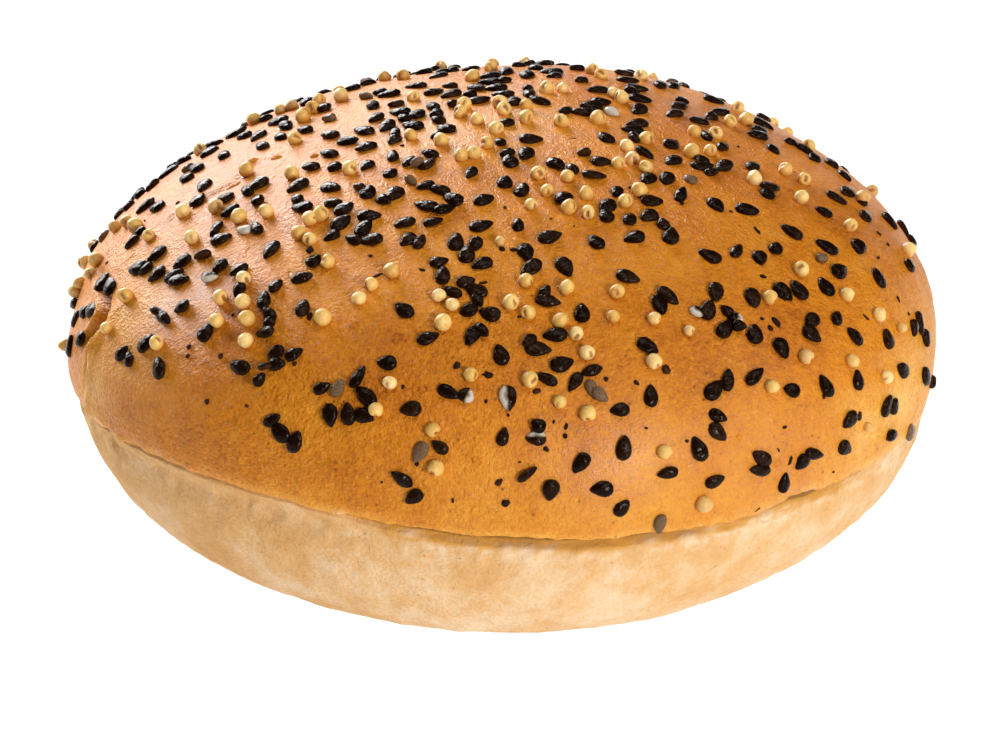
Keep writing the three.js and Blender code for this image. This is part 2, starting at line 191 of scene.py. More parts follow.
# Dark husk flecks: pixel x, y, length and width in pixels, turn in degrees.
FLECKS = [
    (457, 366, 6, 9, 75), (488, 375, 10, 7, 0), (422, 270, 7, 3, -20), (377, 276, 10, 3, 25), (484, 283, 9, 3, 10), (502, 249, 6, 5, 0),
    (513, 250, 6, 5, 0), (537, 391, 7, 5, 30), (403, 387, 4, 4, 0), (371, 256, 4, 3, -30), (519, 317, 4, 3, 0), (566, 426, 3, 6, 80),
    (565, 436, 4, 4, 0), (554, 422, 3, 3, 0), (666, 370, 8, 10, 60), (790, 460, 10, 4, 70), (778, 450, 9, 2, -60), (784, 427, 6, 3, 0),
    (833, 472, 4, 2, -20), (755, 510, 11, 3, 15), (859, 416, 9, 5, 75), (776, 322, 13, 5, -50), (770, 328, 6, 4, -60), (824, 396, 6, 4, 80),
    (687, 441, 4, 3, 0), (499, 482, 8, 5, 55), (506, 503, 8, 6, 50), (546, 449, 7, 4, -40), (508, 415, 3, 3, 0), (453, 501, 5, 2, 85),
    (417, 464, 4, 4, 0), (636, 383, 8, 4, -20), (646, 428, 4, 2, -20), (486, 401, 3, 3, 0), (382, 482, 2, 2, 0), (520, 462, 3, 2, 0),
    (763, 277, 6, 4, 0), (762, 319, 4, 3, 0), (866, 318, 8, 3, -20), (860, 417, 7, 3, 75), (606, 379, 4, 7, 80), (601, 368, 4, 4, 0),
    (682, 204, 5, 5, 0), (630, 188, 6, 5, 0), (757, 231, 13, 3, -65), (731, 212, 4, 3, 0), (738, 147, 3, 3, 0), (402, 146, 5, 4, 0),
    (573, 139, 8, 2, 5), (505, 208, 3, 3, 0), (551, 219, 4, 2, 30), (574, 226, 2, 2, 0), (178, 203, 6, 3, 50), (145, 221, 2, 2, 0),
    (310, 251, 8, 8, 0), (107, 263, 6, 2, 45), (207, 402, 5, 6, 80), (210, 417, 3, 6, 80), (247, 406, 3, 4, 0), (221, 356, 5, 6, 60),
    (189, 347, 5, 5, 0), (188, 356, 4, 5, 0), (295, 364, 4, 4, 0), (233, 315, 3, 3, 0), (310, 317, 9, 5, 70), (879, 234, 6, 3, -40),
    (888, 245, 4, 2, -40), (898, 299, 8, 3, -60), (908, 314, 4, 3, -60), (878, 258, 3, 3, 0),
]
# Scars of the skin: pixel x, y and radius in pixels, stretch and turn in degrees, and rim: 1 a ring where a seed was, 0 a flat scab.
SOCKETS = [
    (355, 326, 6.0, 1.0, 0, 1), (398, 338, 7, 1.1, 20, 1), (424, 390, 5.5, 1.0, 0, 1), (470, 419, 6, 1.2, 10, 0.5), (477, 462, 6, 1.0, 0, 0.6),
    (777, 463, 4, 1.2, 40, 0.6), (739, 437, 4, 1.0, 0, 0.4), (305, 339, 5, 1.1, 60, 0.7), (252, 162, 4.5, 1.7, 12, 0), (234, 184, 5.5, 1.9, 22, 0),
    (168, 220, 5, 1.6, 30, 0.2), (108, 251, 4, 1.3, 60, 0.3), (131, 256, 6, 1.3, 30, 0.3), (276, 157, 4.5, 1.5, -10, 0), (314, 156, 4, 1.2, 0, 0),
    (738, 298, 4.5, 1.0, 0, 0.6), (839, 231, 5, 1.2, -30, 0.5), (463, 215, 6, 1.2, 0, 0.6), (385, 221, 5, 1.1, 0, 0.5), (356, 117, 4, 1.3, 0, 0.2),
    (476, 512, 6, 1.3, 70, 0.3),
]
# Density of toppings per square mm of crown, in steps of 10 degrees down from the top.
SESAME_PER_MM2 = [0.036, 0.048, 0.043, 0.041, 0.034, 0.035, 0.024, 0.008, 0.0]
MILLET_PER_MM2 = [0.018, 0.015, 0.015, 0.012, 0.014, 0.011, 0.007, 0.0013, 0.0]
# Folds and stretch lines of the skin: places in pixels, depth, half-width and ridge in mm, painted shade darkening the
# crease, and on which side the skin bulges up beside the crease: 1 right, -1 left.
FOLDS = [
    ([(99, 272), (104, 285), (106, 299), (105, 310), (101, 320), (92, 330), (85, 340)], 1.4, 0.66, 0.9, 0.40, -1),
    ([(103, 322), (97, 332), (91, 344), (89, 356), (87, 370), (85, 384)], 1.1, 0.72, 1.0, 0.26, 1),
    ([(160, 226), (178, 214), (205, 200), (236, 182), (255, 165), (282, 155)], 0.3, 0.9, 0.15, 0.05, 1),
    ([(106, 420), (113, 440), (119, 456), (122, 478)], 0.45, 0.6, 0.2, 0.0, 1),
    ([(455, 607), (480, 609), (505, 609), (528, 607)], 0.25, 0.5, 0.1, 0.0, 1),
]
# Browner or paler areas of the crown: azimuth, height share, spread of each, and amount.
BROWN_PATCHES = [
    (-26, 0.16, 20, 0.16, 0.16),
    (-75, 0.22, 24, 0.16, 0.14),
    (8, 0.45, 24, 0.22, 0.08),
    (40, 0.18, 16, 0.16, 0.06),
    (74, 0.12, 18, 0.30, -0.16),
    (18, 0.10, 20, 0.10, -0.12),
]
# Spots browner or paler than the skin round them: pixel x, y, spread in mm, and amount. Most are the crust's own
# browning; the paler ones at the left edge, the upper left and the front right paint rim light, sheen and a highlight.
BROWN_AND_PAINTED_LIGHT_SPOTS = [
    (280, 400, 13, 0.04), (370, 400, 13, 0.11), (190, 400, 12, 0.06), (480, 140, 15, -0.09), (590, 200, 14, -0.11), (140, 300, 11, -0.22),
    (330, 260, 13, -0.17), (460, 330, 14, -0.04), (690, 260, 14, 0.04), (790, 250, 14, -0.09), (620, 460, 12, -0.08), (740, 420, 12, 0.04),
    (850, 330, 12, 0.06), (700, 150, 14, 0.05), (105, 440, 4, -0.25), (88, 380, 5, -0.30), (580, 515, 8, 0.14), (285, 470, 9, -0.10), (580, 345, 8, -0.06), (690, 410, 8, -0.05), (465, 512, 8, -0.08), (780, 190, 9, 0.08), (866, 434, 6, -0.32), (902, 402, 6, -0.30), (495, 120, 12, -0.14), (740, 120, 12, 0.06),
]
# Where the egg wash lies thick and glossy: pixel x, y, spread in mm, and amount (negative: a dry place).
GLAZE = [(618, 462, 9.5, 1.0), (690, 470, 10, 0.6), (560, 430, 8, 0.45), (770, 455, 13, 0.8), (840, 420, 9, 0.5), (480, 490, 12, 0.25), (490, 120, 16, 0.7), (240, 170, 20, 0.15), (190, 306, 9, 0.6), (715, 115, 14, 0.8), (330, 240, 16, 0.15), (107, 300, 6, -0.95)]
# Small blisters and lumps at the pan line: pixel x, y, half-width and height in mm, and paleness. The last row, wide
# and flat at the crown's left edge, paints rim light.
BLISTERS_AND_RIM_LIGHT = [
    (765, 517, 1.2, 0.35, 0.9), (752, 521, 0.8, 0.2, 0.6), (811, 492, 1.0, 0.0, 0.2), (508, 549, 0.8, 0.25, 0.7),
    (526, 550, 0.9, 0.3, 0.8), (470, 548, 0.7, 0.22, 0.6), (546, 551, 0.8, 0.25, 0.6), (188, 467, 0.6, 0.35, 0.2), (176, 461, 0.5, 0.3, 0.2),
    (121, 438, 0.7, 0.4, 0.2), (650, 541, 0.9, 0.25, 0.5), (690, 537, 0.9, 0.3, 0.6), (410, 533, 0.8, 0.22, 0.5), (340, 512, 0.7, 0.2, 0.4), (92, 382, 4.2, 0.0, 0.2),
]
# Studio: glow of the floor and surroundings, and soft boxes as name, place, size, watts, colour.
FLOOR_GLOW = 0.97
WORLD_STRENGTH = 0.01
LIGHTS = [
    ("key_back_left", (-0.56, 0.96, 0.45), (1.0, 0.6), 28.6, (1.0, 1.0, 1.0)),
    ("front_right", (0.56, -0.96, 0.36), (0.26, 0.26), 9.1, (1.0, 1.0, 1.0)),
    ("overhead", (0.0, 0.0, 1.2), (0.6, 0.6), 4.6, (1.0, 1.0, 1.0)),
    ("right_top", (0.75, -0.1, 0.80), (0.5, 0.5), 2.8, (1.0, 1.0, 1.0)),
]


# ---------------------------------------------------------------- small helpers
def lin(r, g, b):
    """Linear colour of an sRGB one given as 0..255."""
    out = []
    for c in (r, g, b):
        c /= 255.0
        out.append(c / 12.92 if c <= 0.04045 else ((c + 0.055) / 1.055) ** 2.4)
    return (*out, 1.0)


def smooth(a, b, x):
    t = np.clip((x - a) / (b - a), 0.0, 1.0)
    return t * t * (3.0 - 2.0 * t)


def bell(t):
    return np.exp(-t * t)


def waves(terms, phi):
    return sum(c * np.cos(k * phi) + s * np.sin(k * phi) for k, c, s in terms)


def hashed(ix, iy, iz, seed):
    h = (ix * 374761393 + iy * 668265263 + iz * 2147483647 + seed * 974634777) & 0xFFFFFFFF
    h = ((h ^ (h >> 13)) * 1274126177) & 0xFFFFFFFF
    h = ((h ^ (h >> 16)) * 2246822519) & 0xFFFFFFFF
    return ((h ^ (h >> 15)) & 0xFFFF) / 32767.5 - 1.0


def noise(p, size, seed=0):
    """Smooth gradient noise of about -1..1 over points p (mm), with lumps of the given size."""
    q = np.asarray(p, float) / size
    i = np.floor(q).astype(np.int64)
    f = q - i
    w = f * f * f * (f * (f * 6 - 15) + 10)
    out = 0.0
    for dx in (0, 1):
        for dy in (0, 1):
            for dz in (0, 1):
                share = (
                    (w[..., 0] if dx else 1 - w[..., 0])
                    * (w[..., 1] if dy else 1 - w[..., 1])
                    * (w[..., 2] if dz else 1 - w[..., 2])
                )
                ix, iy, iz = i[..., 0] + dx, i[..., 1] + dy, i[..., 2] + dz
                slope = (
                    hashed(ix, iy, iz, seed) * (f[..., 0] - dx)
                    + hashed(ix, iy, iz, seed + 1009) * (f[..., 1] - dy)
                    + hashed(ix, iy, iz, seed + 2003) * (f[..., 2] - dz)
                )
                out = out + share * slope
    return out * 1.7


def apart(phi, deg):
    """Angle in degrees from an azimuth, wrapped."""
    d = phi - math.radians(deg)
    return np.degrees(np.arctan2(np.sin(d), np.cos(d)))


# ---------------------------------------------------------------- the roll's surface
def section(foot, base, groove, lip, dome):
    """Half section of the even roll, from the middle of the underside to the top: radius, height, and zone."""
    r, z, zone = [], [], []
    wall_top, widest = LINE_HEIGHT - GROOVE_HEIGHT, LINE_HEIGHT + WIDEST_ABOVE_LINE
    for i in range(foot):
        r.append(FOOT_RADIUS * i / foot), z.append(0.0), zone.append(0.0)
    for i in range(base + 1):
        h = wall_top * (1 - math.cos(i / base * math.pi / 2))
        t = max(0.0, 1 - ((wall_top - h) / wall_top) ** BASE_ROUNDNESS)
        r.append(FOOT_RADIUS + (WALL_RADIUS - FOOT_RADIUS) * t ** (1 / BASE_ROUNDNESS))
        z.append(h), zone.append(0.0)
    for i in range(1, groove):
        t = i / groove
        r.append(WALL_RADIUS + (LIP_RADIUS - WALL_RADIUS) * t), z.append(wall_top + GROOVE_HEIGHT * t), zone.append(t)
    for i in range(lip + 1):
        t = i / lip
        r.append(CROWN_RADIUS - (CROWN_RADIUS - LIP_RADIUS) * (1 - t) ** 2)
        z.append(LINE_HEIGHT + WIDEST_ABOVE_LINE * t), zone.append(1.0)
    for i in range(1, dome + 1):
        up = math.sin(i / dome * math.pi / 2)
        r.append(CROWN_RADIUS * max(0.0, 1 - up**DOME_POWER_Z) ** (1 / DOME_POWER_R))
        z.append(widest + (HEIGHT - widest) * up), zone.append(1.0)
    r[-1] = 0.0
    return np.array(r), np.array(z), np.array(zone)


def torn_side(phi):
    return smooth(22, 30, apart(phi, 0)) * (1 - smooth(43, 52, apart(phi, 0)))


def groove_open(phi):
    """How far the pan line stands open, 0..1: a shadowed gap at the front, a fine line at the left, torn at the right."""
    front = smooth(-24, -4, apart(phi, 0)) * (1 - smooth(22, 36, apart(phi, 0)))
    back = (0.5 + 0.5 * np.sin(3.0 * phi + 1.0)) * smooth(80, 120, np.abs(apart(phi, 0)))
    calm = bell(apart(phi, -84) / 16)
    right = torn_side(phi)
    torn = 0.16 * np.sin(17 * phi + 1.0) + 0.12 * np.sin(29 * phi + 2.2) + 0.08 * np.sin(53 * phi)
    left = smooth(-14, -26, apart(phi, 0)) * (1 - smooth(-70, -90, apart(phi, 0)))
    return np.clip(0.40 + 0.60 * front + 0.4 * back - 0.12 * calm + (0.50 + torn - 0.6 * front) * right - 0.1 * left, 0.25, 1.0)


def groove_depth(phi):
    closed = smooth(48, 60, apart(phi, 0)) * (1 - smooth(104, 120, apart(phi, 0)))
    return (0.18 + 1.35 * groove_open(phi) ** 1.3 - 0.2 * bell(apart(phi, -84) / 16)) * (1 - 0.8 * closed) * (1 - 0.5 * torn_side(phi))


def groove_form(phi, t):
    """Share of the depth across the pan line: a slow way in from the wall, then a sharp step out to the lip."""
    wide = groove_open(phi)
    t = np.clip((t - (1 - wide)) / wide, 0, 1)
    return smooth(0.0, 0.6, t) * (1 - smooth(0.88, 1.0, t))


def proved(phi, r, z, zone):
    """Where the uneven dough went: the CAD solid's form, with the pan line's depth changing round the roll."""
    above = np.clip((z - LINE_HEIGHT) / (HEIGHT - LINE_HEIGHT), 0, 1)
    in_base = smooth(0, 1, np.clip((LINE_HEIGHT - z) / LINE_HEIGHT, 0, 1))
    off_axis = smooth(0, CALM_TOP_RADIUS, r)
    plan = 1 + in_base * waves(BASE_PLAN_WAVES, phi) + (1 - in_base) * waves(CROWN_PLAN_WAVES, phi)
    with_line = np.where(z < LINE_HEIGHT, z / LINE_HEIGHT, (1 - 0.75 * above) * off_axis)
    shoulder = np.sin(np.pi * above**0.9) * waves(SHOULDER_WAVES, phi) * off_axis
    fade = np.sin(np.pi * above**0.6) * off_axis
    out = 0.0
    for k, up, phase, depth in LUMPS:
        out = out + depth * np.cos(k * phi + phase) * np.cos(up * np.pi * above + phase)
    out = out * fade
    for at, high, wide, tall, depth in DENTS:
        out = out - depth * bell(apart(phi, at) / wide) * bell((z - high) / tall)
    groove = np.where((zone > 0) & (zone < 1), groove_depth(phi) * groove_form(phi, zone), 0.0)
    radius = r * plan + out * np.minimum(1, r) - groove
    return radius, z + with_line * waves(LINE_WAVES, phi) + shoulder


TURN = 640
phi = np.linspace(-math.pi, math.pi, TURN, endpoint=False)
sec_r, sec_z, sec_zone = section(foot=4, base=34, groove=22, lip=12, dome=80)
ROWS = len(sec_r)
rad_, hgt_ = proved(phi[None, :], sec_r[:, None], sec_z[:, None], sec_zone[:, None])
ground = np.stack([rad_ * np.sin(phi), -rad_ * np.cos(phi), hgt_], -1) - MIDDLE  # rows x turn x 3


def grid_normals(points):
    du = np.roll(points, -1, 1) - np.roll(points, 1, 1)
    dv = np.gradient(points, axis=0)
    n = np.cross(du, dv)
    n /= np.linalg.norm(n, axis=-1, keepdims=True) + 1e-12
    n[0] = (0, 0, -1)
    n[-1] = (0, 0, 1)
    return n


normal = grid_normals(ground)
above = np.clip((sec_z - LINE_HEIGHT) / (HEIGHT - LINE_HEIGHT), 0, 1)[:, None] + 0 * phi[None]
zone = sec_zone[:, None] + 0 * phi[None]
height0 = sec_z[:, None] + 0 * phi[None]
crown_mask = np.where(zone >= 1.0, 1.0, 0.0)
PHI = phi[None] + 0 * zone


# ---- where a pixel of the photograph meets the smooth roll
def quads(rows, turn):
    faces = []
    for j in range(rows - 1):
        for i in range(turn):
            k = (i + 1) % turn
            a, b, c, d = j * turn + i, j * turn + k, (j + 1) * turn + k, (j + 1) * turn + i
            faces.append((a, b, c, d))
    return faces


coarse_rows = list(range(0, ROWS, 2)) + ([ROWS - 1] if (ROWS - 1) % 2 else [])
coarse = ground[coarse_rows][:, ::2]
coarse_n = normal[coarse_rows][:, ::2].reshape(-1, 3)
coarse_faces = quads(len(coarse_rows), TURN // 2)
tree = BVHTree.FromPolygons([tuple(p) for p in coarse.reshape(-1, 3)], coarse_faces)


def pixel_ray(x, y):
    d = FORWARD + RIGHT * ((x - 500.0) / FOCAL_PX) + UPWARD * ((375.0 - y) / FOCAL_PX)
    return d / np.linalg.norm(d)


def to_pixel(p):
    q = np.asarray(p) - EYE
    d = q @ FORWARD
    return 500.0 + FOCAL_PX * (q @ RIGHT) / d, 375.0 - FOCAL_PX * (q @ UPWARD) / d


def smooth_normal(face, p):
    ids = coarse_faces[face]
    pts = coarse.reshape(-1, 3)[list(ids)]
    w = 1.0 / (np.linalg.norm(pts - p, axis=1) + 0.05)
    n = (coarse_n[list(ids)] * w[:, None]).sum(0)
    return n / np.linalg.norm(n)


def on_roll(x, y):
    """Point and normal of the roll under a pixel; past the outline, the roll's nearest point to that line of sight."""
    d = pixel_ray(x, y)
    hit, _, face, _ = tree.ray_cast(Vector(EYE), Vector(d))
    if hit is None:
        best = None
        for s in np.linspace(DISTANCE - 70, DISTANCE + 70, 57):
            p, _, f, dist = tree.find_nearest(Vector(EYE + d * s))
            if best is None or dist < best[0]:
                best = (dist, p, f)
        _, hit, face = best
    p = np.array(hit)
    return p, smooth_normal(face, p)


def carried(x, y, lift):
    """As on_roll, for a thing whose middle stands this far (mm) off the surface and is seen at the pixel."""
    p, n = on_roll(x, y)
    for _ in range(2):
        u, v = to_pixel(p + n * lift)
        p2, n2 = on_roll(x + (x - u) * 0.9, y + (y - v) * 0.9) if _ == 0 else (p, n)
        p, n = p2, n2
    return p, n


# ---- folds and stretch lines of the skin, drawn through places seen in the photograph
def nearest_on(points, line):
    """Distance of points from a polyline, and which side of it they lie on (by the surface's normal)."""
    flat = points.reshape(-1, 3)
    best = np.full(len(flat), 1e9)
    side = np.zeros(len(flat))
    along = np.zeros(len(flat))
    nl = normal.reshape(-1, 3)
    total = sum(np.linalg.norm(b - a) for a, b in zip(line[:-1], line[1:]))
    run = 0.0
    for a, b in zip(line[:-1], line[1:]):
        ab = b - a
        length = np.linalg.norm(ab)
        t = np.clip(((flat - a) @ ab) / (length**2), 0, 1)
        q = a + t[:, None] * ab
        d = np.linalg.norm(flat - q, axis=1)
        s = np.einsum("ij,ij->i", np.cross(np.broadcast_to(ab / length, flat.shape), flat - q), nl)
        m = d < best
        best[m], side[m], along[m] = d[m], s[m], (run + t[m] * length) / total
        run += length
    shape = points.shape[:-1]
    return best.reshape(shape), side.reshape(shape), along.reshape(shape)


push = np.zeros_like(zone)  # outwards, mm
painted_crease_shade = np.zeros_like(zone)  # painted shade darkening the crease of a fold
for places, depth, width, ridge, browning_and_painted_light, bulge in FOLDS:
    line = np.array([on_roll(x, y)[0] for x, y in places])
    d, s, a = nearest_on(ground, line)
    taper = np.sin(np.pi * np.clip(0.08 + 0.84 * a, 0, 1)) ** 0.7
    dip = bell(d / width)
    crest = bell((s * bulge - 1.7 * width) / (1.2 * width)) * (d < 6 * width) * (0.8 + 0.5 * noise(ground, 2.0, 72))
    push += taper * (ridge * crest - depth * dip)
    # painted shade, darkest down the middle of the crease
    painted_crease_shade += browning_and_painted_light * taper * dip

pale_blisters_and_rim_light = np.zeros_like(zone)
for x, y, wide, high, pale in BLISTERS_AND_RIM_LIGHT:
    near_blister = bell(np.linalg.norm((ground - on_roll(x, y)[0]) * (0.8, 0.8, 1.5), axis=-1) / wide)
    push += high * near_blister
    pale_blisters_and_rim_light = np.maximum(pale_blisters_and_rim_light, pale * near_blister)

# ---- the ragged lip, the crown's skin and the crumbly base
edge = np.stack([60 * np.sin(phi), -60 * np.cos(phi), 0 * phi], -1)[None] + np.zeros_like(ground)
at_lip = bell((height0 - LINE_HEIGHT) / np.where(height0 > LINE_HEIGHT, 1.3, 0.7))
torn = torn_side(PHI)
lip_up = (0.34 + 0.4 * torn) * noise(edge, 7.0, 3) + (0.22 + 0.3 * torn) * noise(edge, 2.6, 4) + (0.16 + 0.14 * torn) * noise(edge, 1.3, 5)
lip_out = 0.28 * noise(edge, 5.0, 6) + (0.18 + 0.25 * torn) * noise(edge, 1.7, 7)

crown_skin = (
    0.16 * noise(ground, 11.0, 11)
    + 0.08 * noise(ground, 4.5, 12)
    + 0.035 * noise(ground, 2.2, 13)
    - 0.10 * smooth(0.45, 0.85, noise(ground, 2.6, 14))
    + 0.07 * smooth(0.5, 0.9, noise(ground, 1.9, 15)) * smooth(0.75, 0.3, above)
)
shoulder_of_base = bell((height0 - (LINE_HEIGHT - GROOVE_HEIGHT - 0.8)) / 1.6)
base_skin = (
    0.15 * noise(ground, 6.0, 21)
    + 0.13 * noise(ground, 2.6, 22)
    + 0.08 * noise(ground, 1.5, 23)
    + shoulder_of_base * (0.40 * smooth(0.05, 0.6, noise(ground, 1.8, 24)) - 0.10)
)
off_floor = smooth(0.0, 1.6, height0)
skin = np.where(crown_mask > 0, crown_skin * (0.35 + 0.65 * smooth(0.0, 0.06, above)), base_skin * off_floor)
skin = np.where(sec_r[:, None] < 1e-6, 0.0, skin)
radial = np.stack([np.sin(PHI), -np.cos(PHI), 0 * PHI], -1)
shaped = ground + normal * ((skin + push * np.where(height0 > 2.0, 1, 0))[..., None])
shaped = shaped + radial * (lip_out * at_lip)[..., None]
shaped[..., 2] += lip_up * at_lip
shaped[0] = (ground[0, 0, 0], ground[0, 0, 1], 0.0)
shaped[-1] = shaped[-2].mean(0)
shaped[..., 2] = np.maximum(shaped[..., 2], 0.0)

# ---- browning of the crown: darker where the oven caught it, pale at the lip and at one side; painted crease shade along the folds and painted light in some spots ride on it too
bake_and_painted_light = 0.50 + 0.13 * smooth(0.25, 0.7, above) + 0.10 * noise(ground, 22.0, 31) + 0.07 * noise(ground, 9.0, 32) + 0.04 * noise(ground, 4.0, 33)
for at, up, wide, tall, amount in BROWN_PATCHES:
    bake_and_painted_light = bake_and_painted_light + amount * bell(apart(PHI, at) / wide) * bell((above - up) / tall)
# the paler spots among these paint rim light, sheen and a highlight into the crust's colour
for x, y, wide, amount in BROWN_AND_PAINTED_LIGHT_SPOTS:
    bake_and_painted_light = bake_and_painted_light + amount * bell(np.linalg.norm(ground - on_roll(x, y)[0], axis=-1) / wide)
lip_fade = 1 - smooth(0.0, 0.05 + 0.03 * noise(edge, 9.0, 34), above)
bake_and_painted_light = bake_and_painted_light - (0.20 + 0.10 * noise(edge, 4.0, 35)) * lip_fade + painted_crease_shade
bake_and_painted_light = np.clip(bake_and_painted_light, 0, 1)
glaze = 0 * zone
for x, y, wide, amount in GLAZE:
    spread = amount * bell(np.linalg.norm(ground - on_roll(x, y)[0], axis=-1) / wide)
    glaze = np.maximum(glaze, spread) if amount > 0 else glaze * (1 + spread)
glaze = np.where(crown_mask > 0, glaze, 0.0)
low_down = 1 - smooth(5.0, 14.0, height0)
cream = 0.55 + 0.22 * noise(ground, 12.0, 41) + 0.2 * noise(ground, 5.0, 42) + 0.12 * noise(ground, 2.4, 43)
cream = cream + 0.12 * bell(apart(PHI, -5) / 15) + 0.05 * bell(apart(PHI, 45) / 35) - 0.16 * bell(apart(PHI, -50) / 40) + 0.13 * low_down
cream = np.clip(cream, 0, 1)
flour = bell((height0 - (LINE_HEIGHT - GROOVE_HEIGHT - 0.6)) / 0.9) * np.where(zone < 0.5, 1, 0) * (0.7 + 0.5 * noise(ground, 8.0, 44)) * (0.25 + 0.75 * smooth(-30, -8, apart(PHI, 0)))
wall_top = LINE_HEIGHT - GROOVE_HEIGHT
# a band just beneath the lip, mixed toward the groove colour: partly its own browner tone, partly painted shade beneath
# the overhanging lip
lip_band_tone_and_shade = smooth(wall_top - 0.7, wall_top + 0.25, height0) * np.where(zone < 1.0, 1, 0) * smooth(-26, -8, apart(PHI, 0)) * (1 - smooth(47, 56, apart(PHI, 0)))
lip_band_tone_and_shade = np.clip(lip_band_tone_and_shade * (0.60 + 0.55 * noise(ground, 2.6, 45) * (0.3 + 0.7 * torn)), 0, 1)
# painted shade in the groove, stronger where the groove is deeper, joined with that band
groove_shade_and_band = np.where((zone > 0.0) & (zone < 1.0), groove_form(PHI, zone * 0.86) * np.clip(groove_depth(PHI) * 2.0, 0, 1), 0.0)
groove_shade_and_band = np.maximum(groove_shade_and_band, 0.9 * lip_band_tone_and_shade)


# ---------------------------------------------------------------- mesh making
def make_mesh(name, points_mm, faces, attributes, uv=None):
    mesh = bpy.data.meshes.new(name)
    mesh.from_pydata([tuple(p * MM) for p in points_mm], [], faces)
    mesh.validate()
    for key, values in attributes.items():
        layer = mesh.attributes.new(key, "FLOAT", "POINT")
        layer.data.foreach_set("value", np.asarray(values, np.float32).ravel())
    mesh.polygons.foreach_set("use_smooth", [True] * len(mesh.polygons))
    if uv is not None:
        layer = mesh.uv_layers.new(name="OFBake")
        layer.data.foreach_set("uv", np.asarray(uv, np.float32).ravel())
    mesh.update()
    piece = bpy.data.objects.new(name, mesh)
    bpy.context.collection.objects.link(piece)
    return piece


def roll_mesh():
    """The pole rows close to single points, so the roll is one closed skin."""
    inner = shaped[1:-1].reshape(-1, 3)
    points = np.concatenate([inner, shaped[0, :1], shaped[-1, :1]])
    bottom, top = len(inner), len(inner) + 1
    take = lambda a: np.concatenate([a[1:-1].ravel(), a[0, :1], a[-1, :1]])
    rows = ROWS - 2
    faces, uv = [], []
    arc = np.concatenate([[0], np.cumsum(np.linalg.norm(np.diff(np.stack([sec_r, sec_z], 1), axis=0), axis=1))])
    lip_row = int(np.argmax(sec_zone >= 1.0))
    crown_arc, base_arc = arc[-1] - arc[lip_row], arc[lip_row]
    side = (crown_arc + base_arc) * (1 + 1 / math.sqrt(2)) * 1.01
    rc, rb = crown_arc / side, base_arc / side
    mid_c, mid_b = (rc + 0.004, rc + 0.004), (1 - rb - 0.004, 1 - rb - 0.004)

    def place(row, i, crown):
        ang = phi[0] + i * 2 * math.pi / TURN
        if crown:
            rho = (arc[-1] - arc[row]) / side
            return (mid_c[0] + rho * math.sin(ang), mid_c[1] - rho * math.cos(ang))
        rho = arc[row] / side
        return (mid_b[0] - rho * math.sin(ang), mid_b[1] - rho * math.cos(ang))

    for j in range(rows - 1):
        crown = (j + 1) >= lip_row
        for i in range(TURN):
            k = (i + 1) % TURN
            faces.append((j * TURN + i, j * TURN + k, (j + 1) * TURN + k, (j + 1) * TURN + i))
            uv += [place(j + 1, i, crown), place(j + 1, i + 1, crown), place(j + 2, i + 1, crown), place(j + 2, i, crown)]
    for i in range(TURN):
        k = (i + 1) % TURN
        faces.append((bottom, k, i))
        uv += [place(0, i, False), place(1, i + 1, False), place(1, i, False)]
        a = (rows - 1) * TURN
        faces.append((a + i, a + k, top))
        uv += [place(ROWS - 2, i, True), place(ROWS - 2, i + 1, True), place(ROWS - 1, i, True)]
    attributes = {
        "crown": take(crown_mask),
        "bake_and_painted_light": take(bake_and_painted_light),
        "cream": take(cream),
        "groove": take(groove_shade_and_band),
        "flour": take(flour),
        "blister": take(pale_blisters_and_rim_light),
        "glaze": take(glaze),
        "above": take(above),
    }
    return make_mesh("bread_roll_crust", points, faces, attributes, uv)


class Blobs:
    """Many small closed bodies joined in one mesh, each a set of rings round its own short axis."""

    def __init__(self, segments, latitudes, cells):
        self.segments, self.lat = segments, np.radians(latitudes)
        self.points, self.faces, self.uv = [], [], []
        self.values = {}
        self.count, self.cells = 0, cells
        theta = np.arange(segments) * 2 * math.pi / segments
        self.theta = np.concatenate([np.tile(theta, len(self.lat)), [0.0, 0.0]])
        self.latitude = np.concatenate([np.repeat(self.lat, segments), [-math.pi / 2, math.pi / 2]])

    def add(self, local, place, axes, values):
        """local: points in the body's own axes (mm); place: its middle; axes: rows are its long, cross and short axis."""
        start = self.count * len(local)
        s, rings = self.segments, len(self.lat)
        self.points.append(place + local @ axes)
        low, high = start + rings * s, start + rings * s + 1
        size = 1.0 / self.cells
        cell = np.array([self.count % self.cells, self.count // self.cells]) * size
        half = size / 2
        middle = {False: cell + (0.25 * size, 0.5 * size), True: cell + (0.75 * size, 0.5 * size)}

        def uv(ring, i, upper):
            lat = self.lat[ring] if ring is not None else None
            rho = 0.0 if lat is None else max(0.0, 1 - abs(lat) / (math.pi / 2)) * 0.46
            ang = i * 2 * math.pi / s
            return middle[upper] + np.array([rho * half * math.cos(ang), rho * size * math.sin(ang)])

        for j in range(rings - 1):
            upper = (self.lat[j] + self.lat[j + 1]) > 0
            for i in range(s):
                k = (i + 1) % s
                self.faces.append((start + j * s + i, start + j * s + k, start + (j + 1) * s + k, start + (j + 1) * s + i))
                self.uv += [uv(j, i, upper), uv(j, i + 1, upper), uv(j + 1, i + 1, upper), uv(j + 1, i, upper)]
        for i in range(s):
            k = (i + 1) % s
            self.faces.append((low, start + k, start + i))
            self.uv += [uv(None, i, False), uv(0, i + 1, False), uv(0, i, False)]
            a = start + (rings - 1) * s
            self.faces.append((a + i, a + k, high))
            self.uv += [uv(rings - 1, i, True), uv(rings - 1, i + 1, True), uv(None, i, True)]
        for key, v in values.items():
            self.values.setdefault(key, []).append(np.broadcast_to(v, (len(local),)).copy())
        self.count += 1

    def piece(self, name):
        attributes = {k: np.concatenate(v) for k, v in self.values.items()}
        return make_mesh(name, np.concatenate(self.points), self.faces, attributes, self.uv)


